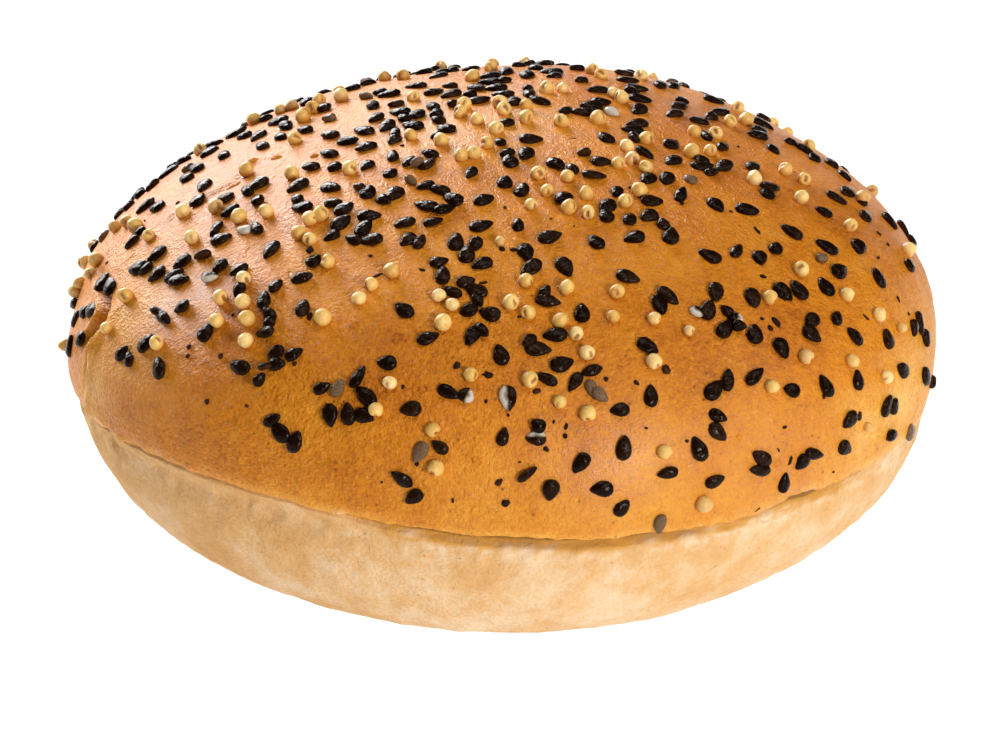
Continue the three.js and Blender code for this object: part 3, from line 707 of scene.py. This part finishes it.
def frame_on(n, turn):
    """Axes of a thing lying on the skin: the first one turned by an angle from the picture's right."""
    t1 = RIGHT - n * (n @ RIGHT)
    t1 /= np.linalg.norm(t1)
    t2 = np.cross(n, t1)
    u = t1 * math.cos(turn) + t2 * math.sin(turn)
    return np.stack([u, np.cross(n, u), n])


def tilted(axes, roll, pitch):
    """Axes rolled about the long axis and pitched about the cross axis (radians)."""
    u, v, n = axes
    v, n = v * math.cos(roll) + n * math.sin(roll), n * math.cos(roll) - v * math.sin(roll)
    u, n = u * math.cos(pitch) + n * math.sin(pitch), n * math.cos(pitch) - u * math.sin(pitch)
    return np.stack([u, v, n])


# ---------------------------------------------------------------- toppings
def behind(count_per_mm2, spacing, gather, past):
    """Seeded places on the part of the crown that the photograph doesn't show, with its density by height."""
    places = []
    start = int(np.argmax(sec_zone >= 1.0))
    a, b = ground[start:-1], ground[start + 1 :]
    area = np.linalg.norm(np.cross(np.roll(a, -1, 1) - a, b - a), axis=-1)
    centre = (a + np.roll(a, -1, 1) + b + np.roll(b, -1, 1)) / 4
    nrm = normal[start:-1]
    look = centre - EYE
    look = look / np.linalg.norm(look, axis=-1, keepdims=True)
    hidden = ((nrm * look).sum(-1) > past) & (centre[..., 2] > LINE_HEIGHT + 6)
    polar = np.degrees(np.arctan2(np.hypot(centre[..., 0], centre[..., 1]), np.maximum(centre[..., 2] - 5, 0.1)))
    density = np.interp(polar, [5 + 10 * i for i in range(len(count_per_mm2))], count_per_mm2)
    clump = np.clip(1 + gather * noise(centre, 9.0, 51), 0.1, 3)
    weight = (area * density * clump * hidden).ravel()
    total = int(round((area * density * hidden).sum()))
    order = rng.choice(len(weight), size=total * 3, p=weight / weight.sum())
    flat, nflat = centre.reshape(-1, 3), nrm.reshape(-1, 3)
    for k in order:
        p = flat[k] + rng.normal(0, 0.25, 3)
        if all(np.linalg.norm(p - q) > spacing for q, _ in places):
            places.append((p, nflat[k]))
        if len(places) >= total:
            break
    settled = []
    for p, n in places:
        q, _, f, _ = tree.find_nearest(Vector(p))
        q = np.array(q)
        settled.append((q, smooth_normal(f, q)))
    return settled


def sesame_form(shape, a, b, c):
    """A plump flat drop: a and b half length and width, c half thickness; its narrow end at +u."""
    th, la = shape.theta, shape.latitude
    t = np.cos(th)
    ring = np.power(np.clip(np.cos(la), 0, 1), 0.62)
    narrow = rng.uniform(0.22, 0.33)
    u = a * ring * t * (1 + 0.03 * np.clip(t, 0, 1) ** 3)
    v = b * ring * np.sin(th) * (1 + 0.04 - narrow * t - 0.08 * t * t)
    n = c * np.sin(la) * (1 - 0.18 * t * ring) * np.where(la > 0, 1.0, 0.85)
    local = np.stack([u, v, n], 1)
    shift = rng.uniform(0, 900, 3)
    local *= 1 + 0.05 * noise(local + shift, 0.9, 61)[:, None] + 0.035 * noise(local + shift, 0.45, 65)[:, None]
    return local


def millet_form(shape, r):
    """A round grain, a little uneven, with the notch of its embryo at one side."""
    th, la = shape.theta, shape.latitude
    d = np.stack([np.cos(la) * np.cos(th), np.cos(la) * np.sin(th), np.sin(la)], 1)
    ang = np.arccos(np.clip(d[:, 0], -1, 1))
    around = np.arctan2(d[:, 2], d[:, 1]) - rng.uniform(-2.3, -0.85)  # the notch runs down towards the skin
    along, across = ang * np.cos(around), ang * np.sin(around)
    channel = bell(across / rng.uniform(0.38, 0.54)) * smooth(-0.35, -0.02, along) * (1 - smooth(1.0, 1.5, along))
    deep = rng.uniform(0.06, 0.48)
    notch = deep * channel
    local = d * (r * (1 - notch))[:, None] * np.array([1.07, rng.uniform(0.90, 1.02), rng.uniform(0.88, 1.0)])
    shift = rng.uniform(0, 900, 3)
    local *= 1 + 0.06 * noise(local + shift, 1.2, 62)[:, None]
    # brown in the notch, darker where the notch is deeper: the embryo's own colour with painted shade in the notch
    germ_and_notch_shade = np.clip((0.35 + 2.2 * deep) * channel * (0.9 + 0.3 * noise(local + shift, 0.6, 66)), 0, 1)
    return local, germ_and_notch_shade


def fleck_form(shape, a, b, c):
    th, la = shape.theta, shape.latitude
    local = np.stack([a * np.cos(la) * np.cos(th), b * np.cos(la) * np.sin(th), c * np.sin(la)], 1)
    return local * (1 + 0.5 * noise(local + rng.uniform(0, 900, 3), 0.4, 63))[:, None]


sesame = Blobs(20, [-62, -34, -14, 0, 14, 34, 62], 26)
millet = Blobs(24, [-75, -58, -42, -28, -14, 0, 14, 28, 42, 58, 75], 16)
millet.theta = millet.theta - 0.45 * np.sin(millet.theta)  # points closer together at the notch
flecks = Blobs(10, [-50, -15, 15, 50], 16)

rim_of_seed = smooth(0.25, -0.35, np.sin(sesame.latitude))
TONE = {"s": 0.0, "e": 0.0, "g": 0.35, "h": 1.0, "w": 1.0}
lying = []  # (middle, half length) of every seed already laid, so that one crossing it lies on top
for x, y, turn, half_long, half_wide, kind in SESAME:
    a, b, c = half_long * 0.0106, half_wide * 0.0106, 0.54
    lift = 0.26
    p, n = carried(x, y, lift)
    facing = float(n @ -pixel_ray(x, y))  # 1 seen from straight above, 0 at the outline
    edge_on = kind == "e" or (b < 0.5 and facing > 0.4)
    if edge_on:
        b = max(b, 0.78)
    b, a = min(max(b, 0.74), 1.07), min(max(a, 1.0), 1.68)
    axes = frame_on(n, math.radians(turn))
    roll, pitch = rng.normal(0, 0.10), rng.normal(0, 0.07)
    if edge_on:
        roll, lift = 1.15 * (1 if rng.random() < 0.5 else -1), 0.42
    near = [h for q, h in lying if np.linalg.norm(q - p) < 1.55]
    if near:
        lift += (0.34 if facing > 0.35 else 0.2) * min(2, len(near))
        pitch += rng.choice([-1, 1]) * 0.16
    lift *= 0.6 + 0.4 * min(1.0, max(facing, 0.0) / 0.4)
    lying.append((p, a))
    local = sesame_form(sesame, a, b, c * rng.uniform(0.92, 1.1))
    tone = np.zeros(len(local))
    if kind == "h":
        tone = smooth(0.35, -0.2, local[:, 1] / b + 0.3 * np.cos(2 * sesame.theta))
    elif kind in "gw":
        tone = tone + TONE[kind]
    sesame.add(local, p + n * lift, tilted(axes, roll, pitch), {"tone": tone, "rim": rim_of_seed, "pick": rng.random()})

for p, n in behind(SESAME_PER_MM2, 1.9, 0.6, 0.05):
    a, b = rng.normal(1.42, 0.09), rng.normal(0.90, 0.06)
    axes = frame_on(n, rng.uniform(0, 2 * math.pi))
    on_edge = rng.random() < 0.07
    local = sesame_form(sesame, a, b, 0.54 * rng.uniform(0.92, 1.1))
    kind = rng.random()
    tone = 0.35 if kind < 0.05 else (1.0 if kind > 0.985 else 0.0)
    sesame.add(
        local,
        p + n * (0.42 if on_edge else 0.28),
        tilted(axes, 1.1 if on_edge else rng.normal(0, 0.12), rng.normal(0, 0.09)),
        {"tone": np.full(len(local), tone), "rim": rim_of_seed, "pick": rng.random()},
    )

def lay_millet(p, n, lift, r, toast):
    axes = tilted(frame_on(n, rng.uniform(-3.0, -0.1)), rng.normal(0, 0.4), rng.uniform(0.5, 1.25))
    local, germ_and_notch_shade = millet_form(millet, r)
    # the grain's lower side, toward the skin, made browner: partly toasted, partly painted shade
    under = smooth(0.35, -0.6, (local @ axes) @ n / r)
    millet.add(local, p + n * lift, axes, {"germ_and_notch_shade": germ_and_notch_shade, "toast": toast, "under": under, "pick": rng.random()})


for x, y, kind in MILLET:
    r = float(np.clip(rng.normal(1.03, 0.07), 0.88, 1.16)) * (0.74 if kind == "d" else 1.0)
    p, n = carried(x, y, 0.5 * r)
    facing = float(n @ -pixel_ray(x, y))
    lift = r * (0.36 + 0.2 * min(1.0, max(facing, 0.0) / 0.4))
    near = [1 for q, h in lying if np.linalg.norm(q - p) < 1.2]
    lift += 0.25 * len(near[:2])
    lay_millet(p, n, lift, r, {"m": 0.0, "n": 0.4, "d": 0.35}[kind])
    lying.append((p, r))

for p, n in behind(MILLET_PER_MM2, 2.4, 0.5, 0.13):
    r = rng.normal(1.08, 0.05)
    lay_millet(p, n, 0.54 * r, r, 0.4 if rng.random() < 0.12 else 0.0)

for x, y, long_px, wide_px, turn in FLECKS:
    p, n = on_roll(x, y)
    px = 0.139
    local = fleck_form(flecks, max(long_px, wide_px) * px / 2, min(long_px, wide_px) * px / 2 * 1.15, min(long_px, wide_px) * px * 0.3 + 0.05)
    flecks.add(local, p + n * 0.06, frame_on(n, math.radians(turn)), {"pick": rng.random()})
for p, n in behind([0.004] * 7, 2.0, 0.5, 0.02):
    long = rng.uniform(0.2, 0.7)
    flecks.add(fleck_form(flecks, long, long * rng.uniform(0.35, 0.8), 0.14), p + n * 0.06, frame_on(n, rng.uniform(0, 6.28)), {"pick": rng.random()})

# ---- shallow rings in the skin where a seed was, and flat scabs
rings = Blobs(20, [-40, 0, 22, 42, 60, 75], 16)


def ring_form(shape, r, rim, dip, stretch):
    th, la = shape.theta, shape.latitude
    rho = np.cos(la)
    top = rim * bell((rho - 0.66) / 0.24) - dip * bell(rho / 0.4) - 0.12 * smooth(0.78, 1.0, rho)
    if rim < 0.04:
        top = 0.45 * (1 - rho**2) - 0.05
    circle = np.stack([np.cos(th), np.sin(th), 0 * th], 1) + rng.uniform(0, 90, 3)
    wob = 1 + 0.22 * noise(circle, 0.8, 64) + 0.12 * noise(circle, 0.4, 67)
    h = np.where(la >= 0, top + 0.06 * noise(circle + rho[:, None], 0.45, 68) * (rho < 0.95), -0.25)
    return np.stack([r * stretch * rho * np.cos(th) * wob, r * rho * np.sin(th) * wob, h], 1)


def skin_values(p):
    k = int(np.argmin(((ground - p) ** 2).sum(-1)))
    j, i = divmod(k, TURN)
    return j, i


for x, y, r_px, stretch, turn, rim in SOCKETS:
    p, n = on_roll(x, y)
    j, i = skin_values(p)
    height = float((skin + push)[j, i])
    local = ring_form(rings, r_px * 0.139, 0.03 + 0.09 * rim, 0.03 * rim, stretch)
    darker = 0.12 * bell((np.cos(rings.latitude) - 0.6) / 0.35) + 0.10 * noise(local + 7.0 * x, 0.5, 69) - 0.12 * (1 - rim)
    rings.add(local, p + n * (height + 0.01), frame_on(n, math.radians(turn)), {
        "crown": 1.0, "bake_and_painted_light": np.clip(bake_and_painted_light[j, i] + darker, 0, 1), "cream": 0.5, "groove": 0.0, "flour": 0.0, "blister": 0.0, "glaze": 0.0, "above": float(above[j, i])})

# ---------------------------------------------------------------- materials
def material(name):
    m = bpy.data.materials.new(name)
    m.use_nodes = True
    nodes, links = m.node_tree.nodes, m.node_tree.links
    bsdf = nodes["Principled BSDF"]

    def node(kind, **sockets):
        n = nodes.new(kind)
        for key, v in sockets.items():
            if key in n.inputs:
                n.inputs[key].default_value = v
            else:
                setattr(n, key, v)
        return n

    return m, bsdf, node, links


def attribute(node, name):
    n = node("ShaderNodeAttribute")
    n.attribute_name = name
    n.attribute_type = "GEOMETRY"
    return n.outputs["Fac"]


def noise_tex(node, links, coord, scale, detail=3.0, rough=0.55):
    n = node("ShaderNodeTexNoise", Scale=scale, Detail=detail, Roughness=rough)
    links.new(coord, n.inputs["Vector"])
    return n.outputs["Fac"]


def math_node(node, links, op, a, b=None, c=None, clamp=False):
    n = node("ShaderNodeMath")
    n.operation = op
    n.use_clamp = clamp
    for k, v in enumerate((a, b, c)):
        if v is None:
            continue
        if isinstance(v, (int, float)):
            n.inputs[k].default_value = v
        else:
            links.new(v, n.inputs[k])
    return n.outputs[0]


def ramp(node, links, fac, stops):
    n = node("ShaderNodeValToRGB")
    links.new(fac, n.inputs["Fac"])
    e = n.color_ramp.elements
    while len(e) < len(stops):
        e.new(0.5)
    for k, (at, colour) in enumerate(stops):
        e[k].position = at
        e[k].color = colour
    return n.outputs["Color"]


def mix_colour(node, links, fac, a, b, kind="MIX"):
    n = node("ShaderNodeMix")
    n.data_type = "RGBA"
    n.blend_type = kind
    for socket, v in ((n.inputs[0], fac), (n.inputs[6], a), (n.inputs[7], b)):
        if isinstance(v, (int, float)):
            socket.default_value = v
        elif isinstance(v, tuple):
            socket.default_value = v
        else:
            links.new(v, socket)
    return n.outputs[2]


def span(node, links, value, a, b, lo=0.0, hi=1.0):
    n = node("ShaderNodeMapRange")
    n.interpolation_type = "SMOOTHSTEP"
    n.inputs["From Min"].default_value = a
    n.inputs["From Max"].default_value = b
    n.inputs["To Min"].default_value = lo
    n.inputs["To Max"].default_value = hi
    links.new(value, n.inputs["Value"])
    return n.outputs["Result"]


def crust_material():
    m, bsdf, node, links = material("crust")
    here = node("ShaderNodeTexCoord").outputs["Object"]
    crown, browning_and_painted_light, cream_, groove_shade_and_band_, flour_, blister_and_rim_light_ = (attribute(node, k) for k in ("crown", "bake_and_painted_light", "cream", "groove", "flour", "blister"))

    def off(value, amount, base):
        """base plus a noise's swing about its middle."""
        return math_node(node, links, "MULTIPLY_ADD", math_node(node, links, "SUBTRACT", value, 0.5), amount, base)

    def times(a, b):
        return math_node(node, links, "MULTIPLY", a, b)

    patch = noise_tex(node, links, here, 180.0, 4.0, 0.6)
    fine = noise_tex(node, links, here, 800.0, 3.0, 0.6)
    sand = noise_tex(node, links, here, 1900.0, 2.0, 0.6)
    grain = noise_tex(node, links, here, 4200.0, 1.0, 0.5)
    # browning, with its painted crease shade and painted light, broken up at the scale of the skin's pores
    amount = off(patch, 0.36, browning_and_painted_light)
    amount = off(fine, 0.34, amount)
    amount = off(sand, 0.50, amount)
    top = ramp(node, links, math_node(node, links, "MAXIMUM", amount, 0.0), CROWN_RAMP)
    # tiny pale blisters, and dark pores
    cell = node("ShaderNodeTexVoronoi", Scale=900.0)
    links.new(here, cell.inputs["Vector"])
    few = span(node, links, noise_tex(node, links, here, 240.0, 2.0), 0.44, 0.62)
    spot = times(span(node, links, cell.outputs["Distance"], 0.34, 0.10), few)
    top = mix_colour(node, links, times(spot, 0.16), top, lin(244, 186, 110))
    pore = node("ShaderNodeTexVoronoi", Scale=650.0)
    links.new(here, pore.inputs["Vector"])
    pit = times(span(node, links, pore.outputs["Distance"], 0.20, 0.05), span(node, links, noise_tex(node, links, here, 310.0, 2.0), 0.50, 0.64))
    top = mix_colour(node, links, times(pit, 0.6), top, lin(112, 58, 20))
    # the pale base: cream with tan blotches, fine grain and specks, floury where it blistered under the lip
    blotch = off(patch, 0.55, cream_)
    blotch = off(fine, 0.5, blotch)
    blotch = math_node(node, links, "MAXIMUM", off(sand, 0.55, blotch), 0.0)
    low = ramp(node, links, blotch, BASE_RAMP)
    low = mix_colour(node, links, times(flour_, span(node, links, noise_tex(node, links, here, 520.0, 2.0), 0.48, 0.62, 0.0, 0.5)), low, FLOUR_AND_RIM_LIGHT_COLOUR)
    # painted shade in the groove and the band beneath the lip, in the groove colour
    shade = span(node, links, off(fine, 0.5, groove_shade_and_band_), 0.05, 0.65)
    low = mix_colour(node, links, times(shade, 0.9), low, GROOVE_TONE_AND_SHADE_COLOUR)
    # a darker painted shadow line where that shade is strongest
    low = mix_colour(node, links, times(span(node, links, groove_shade_and_band_, 0.62, 0.95), 0.75), low, lin(112, 72, 26))
    speck = times(span(node, links, pore.outputs["Distance"], 0.16, 0.05), span(node, links, noise_tex(node, links, here, 150.0, 2.0), 0.52, 0.68))
    low = mix_colour(node, links, times(speck, 0.6), low, lin(150, 100, 52))
    both = mix_colour(node, links, crown, low, top)
    # pale blisters, and painted rim light at the crown's left edge
    links.new(mix_colour(node, links, times(blister_and_rim_light_, 0.7), both, FLOUR_AND_RIM_LIGHT_COLOUR), bsdf.inputs["Base Color"])
    gloss = off(sand, 0.5, CROWN_ROUGHNESS)
    rough = node("ShaderNodeMix")
    links.new(crown, rough.inputs[0])
    rough.inputs[2].default_value = 0.8
    links.new(math_node(node, links, "MAXIMUM", gloss, 0.16), rough.inputs[3])
    links.new(rough.outputs[0], bsdf.inputs["Roughness"])
    bsdf.inputs["Specular IOR Level"].default_value = CROWN_SPECULAR
    # egg wash, thin and patchy
    wash = times(attribute(node, "glaze"), span(node, links, math_node(node, links, "ADD", sand, math_node(node, links, "MULTIPLY_ADD", fine, 0.6, -0.3)), 0.30, 0.60, 0.35, 1.0))
    links.new(wash, bsdf.inputs["Coat Weight"])
    bsdf.inputs["Coat Roughness"].default_value = 0.38
    film = node("ShaderNodeBump", Strength=0.9, Distance=0.00008)
    links.new(math_node(node, links, "MULTIPLY_ADD", noise_tex(node, links, here, 8000.0, 1.0), 0.5, grain), film.inputs["Height"])
    links.new(film.outputs["Normal"], bsdf.inputs["Coat Normal"])
    # skin: sandy wrinkles on the crown, crumb on the base
    wrinkle = math_node(node, links, "MULTIPLY_ADD", sand, 0.8, times(fine, 0.8))
    wrinkle = math_node(node, links, "MULTIPLY_ADD", grain, 0.35, wrinkle)
    wrinkle = math_node(node, links, "MULTIPLY_ADD", spot, 0.22, wrinkle)
    wrinkle = math_node(node, links, "MULTIPLY_ADD", pit, -0.35, wrinkle)
    bump = node("ShaderNodeBump", Strength=0.9, Distance=CRUST_BUMP)
    links.new(times(wrinkle, math_node(node, links, "MULTIPLY_ADD", crown, 0.5, 0.5)), bump.inputs["Height"])
    links.new(bump.outputs["Normal"], bsdf.inputs["Normal"])
    return m


def sesame_material():
    m, bsdf, node, links = material("black_sesame")
    here = node("ShaderNodeTexCoord").outputs["Object"]
    tone, pick = attribute(node, "tone"), attribute(node, "pick")
    fine = noise_tex(node, links, here, 4200.0, 2.0)
    mid = noise_tex(node, links, here, 1800.0, 1.0)
    black = ramp(node, links, math_node(node, links, "MULTIPLY_ADD", pick, 0.4, math_node(node, links, "MULTIPLY", mid, 0.6)), [(0.25, (0.006, 0.0022, 0.0008, 1)), (0.65, (0.013, 0.0048, 0.0016, 1)), (0.85, (0.034, 0.013, 0.005, 1))])
    black = mix_colour(node, links, math_node(node, links, "MULTIPLY", attribute(node, "rim"), 0.8), black, (0.050, 0.016, 0.004, 1))
    pale = ramp(node, links, tone, [(0.0, (0.01, 0.008, 0.006, 1)), (0.4, lin(116, 90, 66)), (0.8, lin(158, 146, 132)), (1.0, lin(194, 184, 170))])
    chalk = math_node(node, links, "MULTIPLY_ADD", math_node(node, links, "SUBTRACT", fine, 0.5), 0.9, tone)
    links.new(mix_colour(node, links, span(node, links, chalk, 0.12, 0.3), black, pale), bsdf.inputs["Base Color"])
    links.new(math_node(node, links, "MULTIPLY_ADD", mid, 0.30, 0.03), bsdf.inputs["Roughness"])
    bsdf.inputs["Specular IOR Level"].default_value = 0.08
    bsdf.inputs["Specular Tint"].default_value = (1.0, 0.88, 0.78, 1)
    bump = node("ShaderNodeBump", Strength=1.0, Distance=0.00016)
    links.new(math_node(node, links, "MULTIPLY_ADD", fine, 0.15, mid), bump.inputs["Height"])
    links.new(bump.outputs["Normal"], bsdf.inputs["Normal"])
    return m


def millet_material():
    m, bsdf, node, links = material("millet")
    here = node("ShaderNodeTexCoord").outputs["Object"]
    germ_and_notch_shade, toast, under, pick = (attribute(node, k) for k in ("germ_and_notch_shade", "toast", "under", "pick"))
    mid = noise_tex(node, links, here, 800.0, 3.0)
    body = ramp(node, links, math_node(node, links, "MULTIPLY_ADD", pick, 0.5, math_node(node, links, "MULTIPLY", mid, 0.6)), MILLET_RAMP)
    body = mix_colour(node, links, toast, body, lin(184, 124, 60))
    # browner lower side of each grain: partly toasted, partly painted shade
    body = mix_colour(node, links, math_node(node, links, "MULTIPLY", under, 0.6), body, lin(196, 128, 48))
    # the notch: the embryo's brown with painted shade, darker where deeper
    body = mix_colour(node, links, math_node(node, links, "MULTIPLY", span(node, links, germ_and_notch_shade, 0.35, 0.95), 0.85), body, lin(142, 76, 30))
    links.new(body, bsdf.inputs["Base Color"])
    links.new(math_node(node, links, "MULTIPLY_ADD", mid, 0.3, 0.28), bsdf.inputs["Roughness"])
    bsdf.inputs["Specular IOR Level"].default_value = 0.45
    bump = node("ShaderNodeBump", Strength=0.7, Distance=0.00012)
    links.new(noise_tex(node, links, here, 2600.0, 2.0), bump.inputs["Height"])
    links.new(bump.outputs["Normal"], bsdf.inputs["Normal"])
    return m


def fleck_material():
    m, bsdf, node, links = material("husk_flecks")
    here = node("ShaderNodeTexCoord").outputs["Object"]
    pick = attribute(node, "pick")
    mid = noise_tex(node, links, here, 1500.0, 2.0)
    tone = math_node(node, links, "MULTIPLY_ADD", mid, 0.5, math_node(node, links, "MULTIPLY", pick, 0.5))
    links.new(ramp(node, links, tone, [(0.2, (0.012, 0.0045, 0.002, 1)), (0.7, (0.034, 0.012, 0.005, 1)), (1.0, lin(110, 62, 28))]), bsdf.inputs["Base Color"])
    links.new(math_node(node, links, "MULTIPLY_ADD", mid, 0.3, 0.4), bsdf.inputs["Roughness"])
    bsdf.inputs["Specular IOR Level"].default_value = 0.07
    return m


CROWN_RAMP = [(0.0, lin(240, 186, 96)), (0.28, lin(226, 153, 48)), (0.55, lin(208, 126, 24)), (0.8, lin(176, 95, 12)), (1.0, lin(136, 62, 9))]
BASE_RAMP = [(0.0, lin(202, 147, 82)), (0.5, lin(219, 171, 114)), (1.0, lin(233, 204, 167))]
# the band beneath the lip: its own browner tone, with painted shade
GROOVE_TONE_AND_SHADE_COLOUR = lin(198, 138, 50)
FLOUR_AND_RIM_LIGHT_COLOUR = lin(244, 222, 190)
MILLET_RAMP = [(0.2, lin(212, 158, 70)), (0.55, lin(231, 186, 100)), (0.95, lin(248, 216, 150))]
CROWN_ROUGHNESS = 0.38
CROWN_SPECULAR = 0.14
CRUST_BUMP = 0.00044

crust = crust_material()
roll = roll_mesh()
roll.data.materials.append(crust)
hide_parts("bread_roll")
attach(roll, "root")

toppings = [
    (sesame.piece("black_sesame"), sesame_material()),
    (millet.piece("millet_grains"), millet_material()),
    (flecks.piece("husk_flecks"), fleck_material()),
    (rings.piece("seed_rings"), crust),
]
for piece, mat in toppings:
    piece.data.materials.append(mat)
    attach(piece, "root")

# ---------------------------------------------------------------- floor, light, camera
scene = bpy.context.scene
floor_mesh = bpy.data.meshes.new("floor")
floor_mesh.from_pydata([(-3, -3, 0), (3, -3, 0), (3, 3, 0), (-3, 3, 0)], [], [(0, 1, 2, 3)])
floor = bpy.data.objects.new("floor", floor_mesh)
bpy.context.collection.objects.link(floor)
floor.location.z = -0.0001
floor_mat, floor_bsdf, _, _ = material("floor_white")
floor_bsdf.inputs["Base Color"].default_value = (0.2, 0.2, 0.2, 1)
floor_bsdf.inputs["Roughness"].default_value = 0.9
floor_bsdf.inputs["Emission Color"].default_value = (1, 1, 1, 1)
floor_bsdf.inputs["Emission Strength"].default_value = FLOOR_GLOW
floor_mesh.materials.append(floor_mat)

world = bpy.data.worlds.new("studio")
scene.world = world
world.use_nodes = True
world.node_tree.nodes["Background"].inputs["Color"].default_value = (1.0, 1.0, 1.0, 1)
world.node_tree.nodes["Background"].inputs["Strength"].default_value = WORLD_STRENGTH


def softbox(name, at, size, watts, colour, aim=(0, 0, 0.03)):
    data = bpy.data.lights.new(name, "AREA")
    data.shape = "RECTANGLE"
    data.size, data.size_y = size
    data.energy = watts
    data.color = colour
    lamp = bpy.data.objects.new(name, data)
    bpy.context.collection.objects.link(lamp)
    lamp.location = at
    lamp.rotation_euler = (Vector(aim) - Vector(at)).to_track_quat("-Z", "Y").to_euler()
    return lamp


for spec in LIGHTS:
    softbox(*spec)

camera_data = bpy.data.cameras.new("camera")
camera_data.sensor_width = 36.0
camera_data.lens = FOCAL_PX * 36.0 / 1000.0
camera = bpy.data.objects.new("camera", camera_data)
bpy.context.collection.objects.link(camera)
rotation = Matrix((RIGHT, UPWARD, -FORWARD)).transposed()
camera.matrix_world = Matrix.Translation(Vector(EYE * MM)) @ rotation.to_4x4()
scene.camera = camera
scene.view_settings.view_transform = "Standard"
scene.view_settings.look = "None"
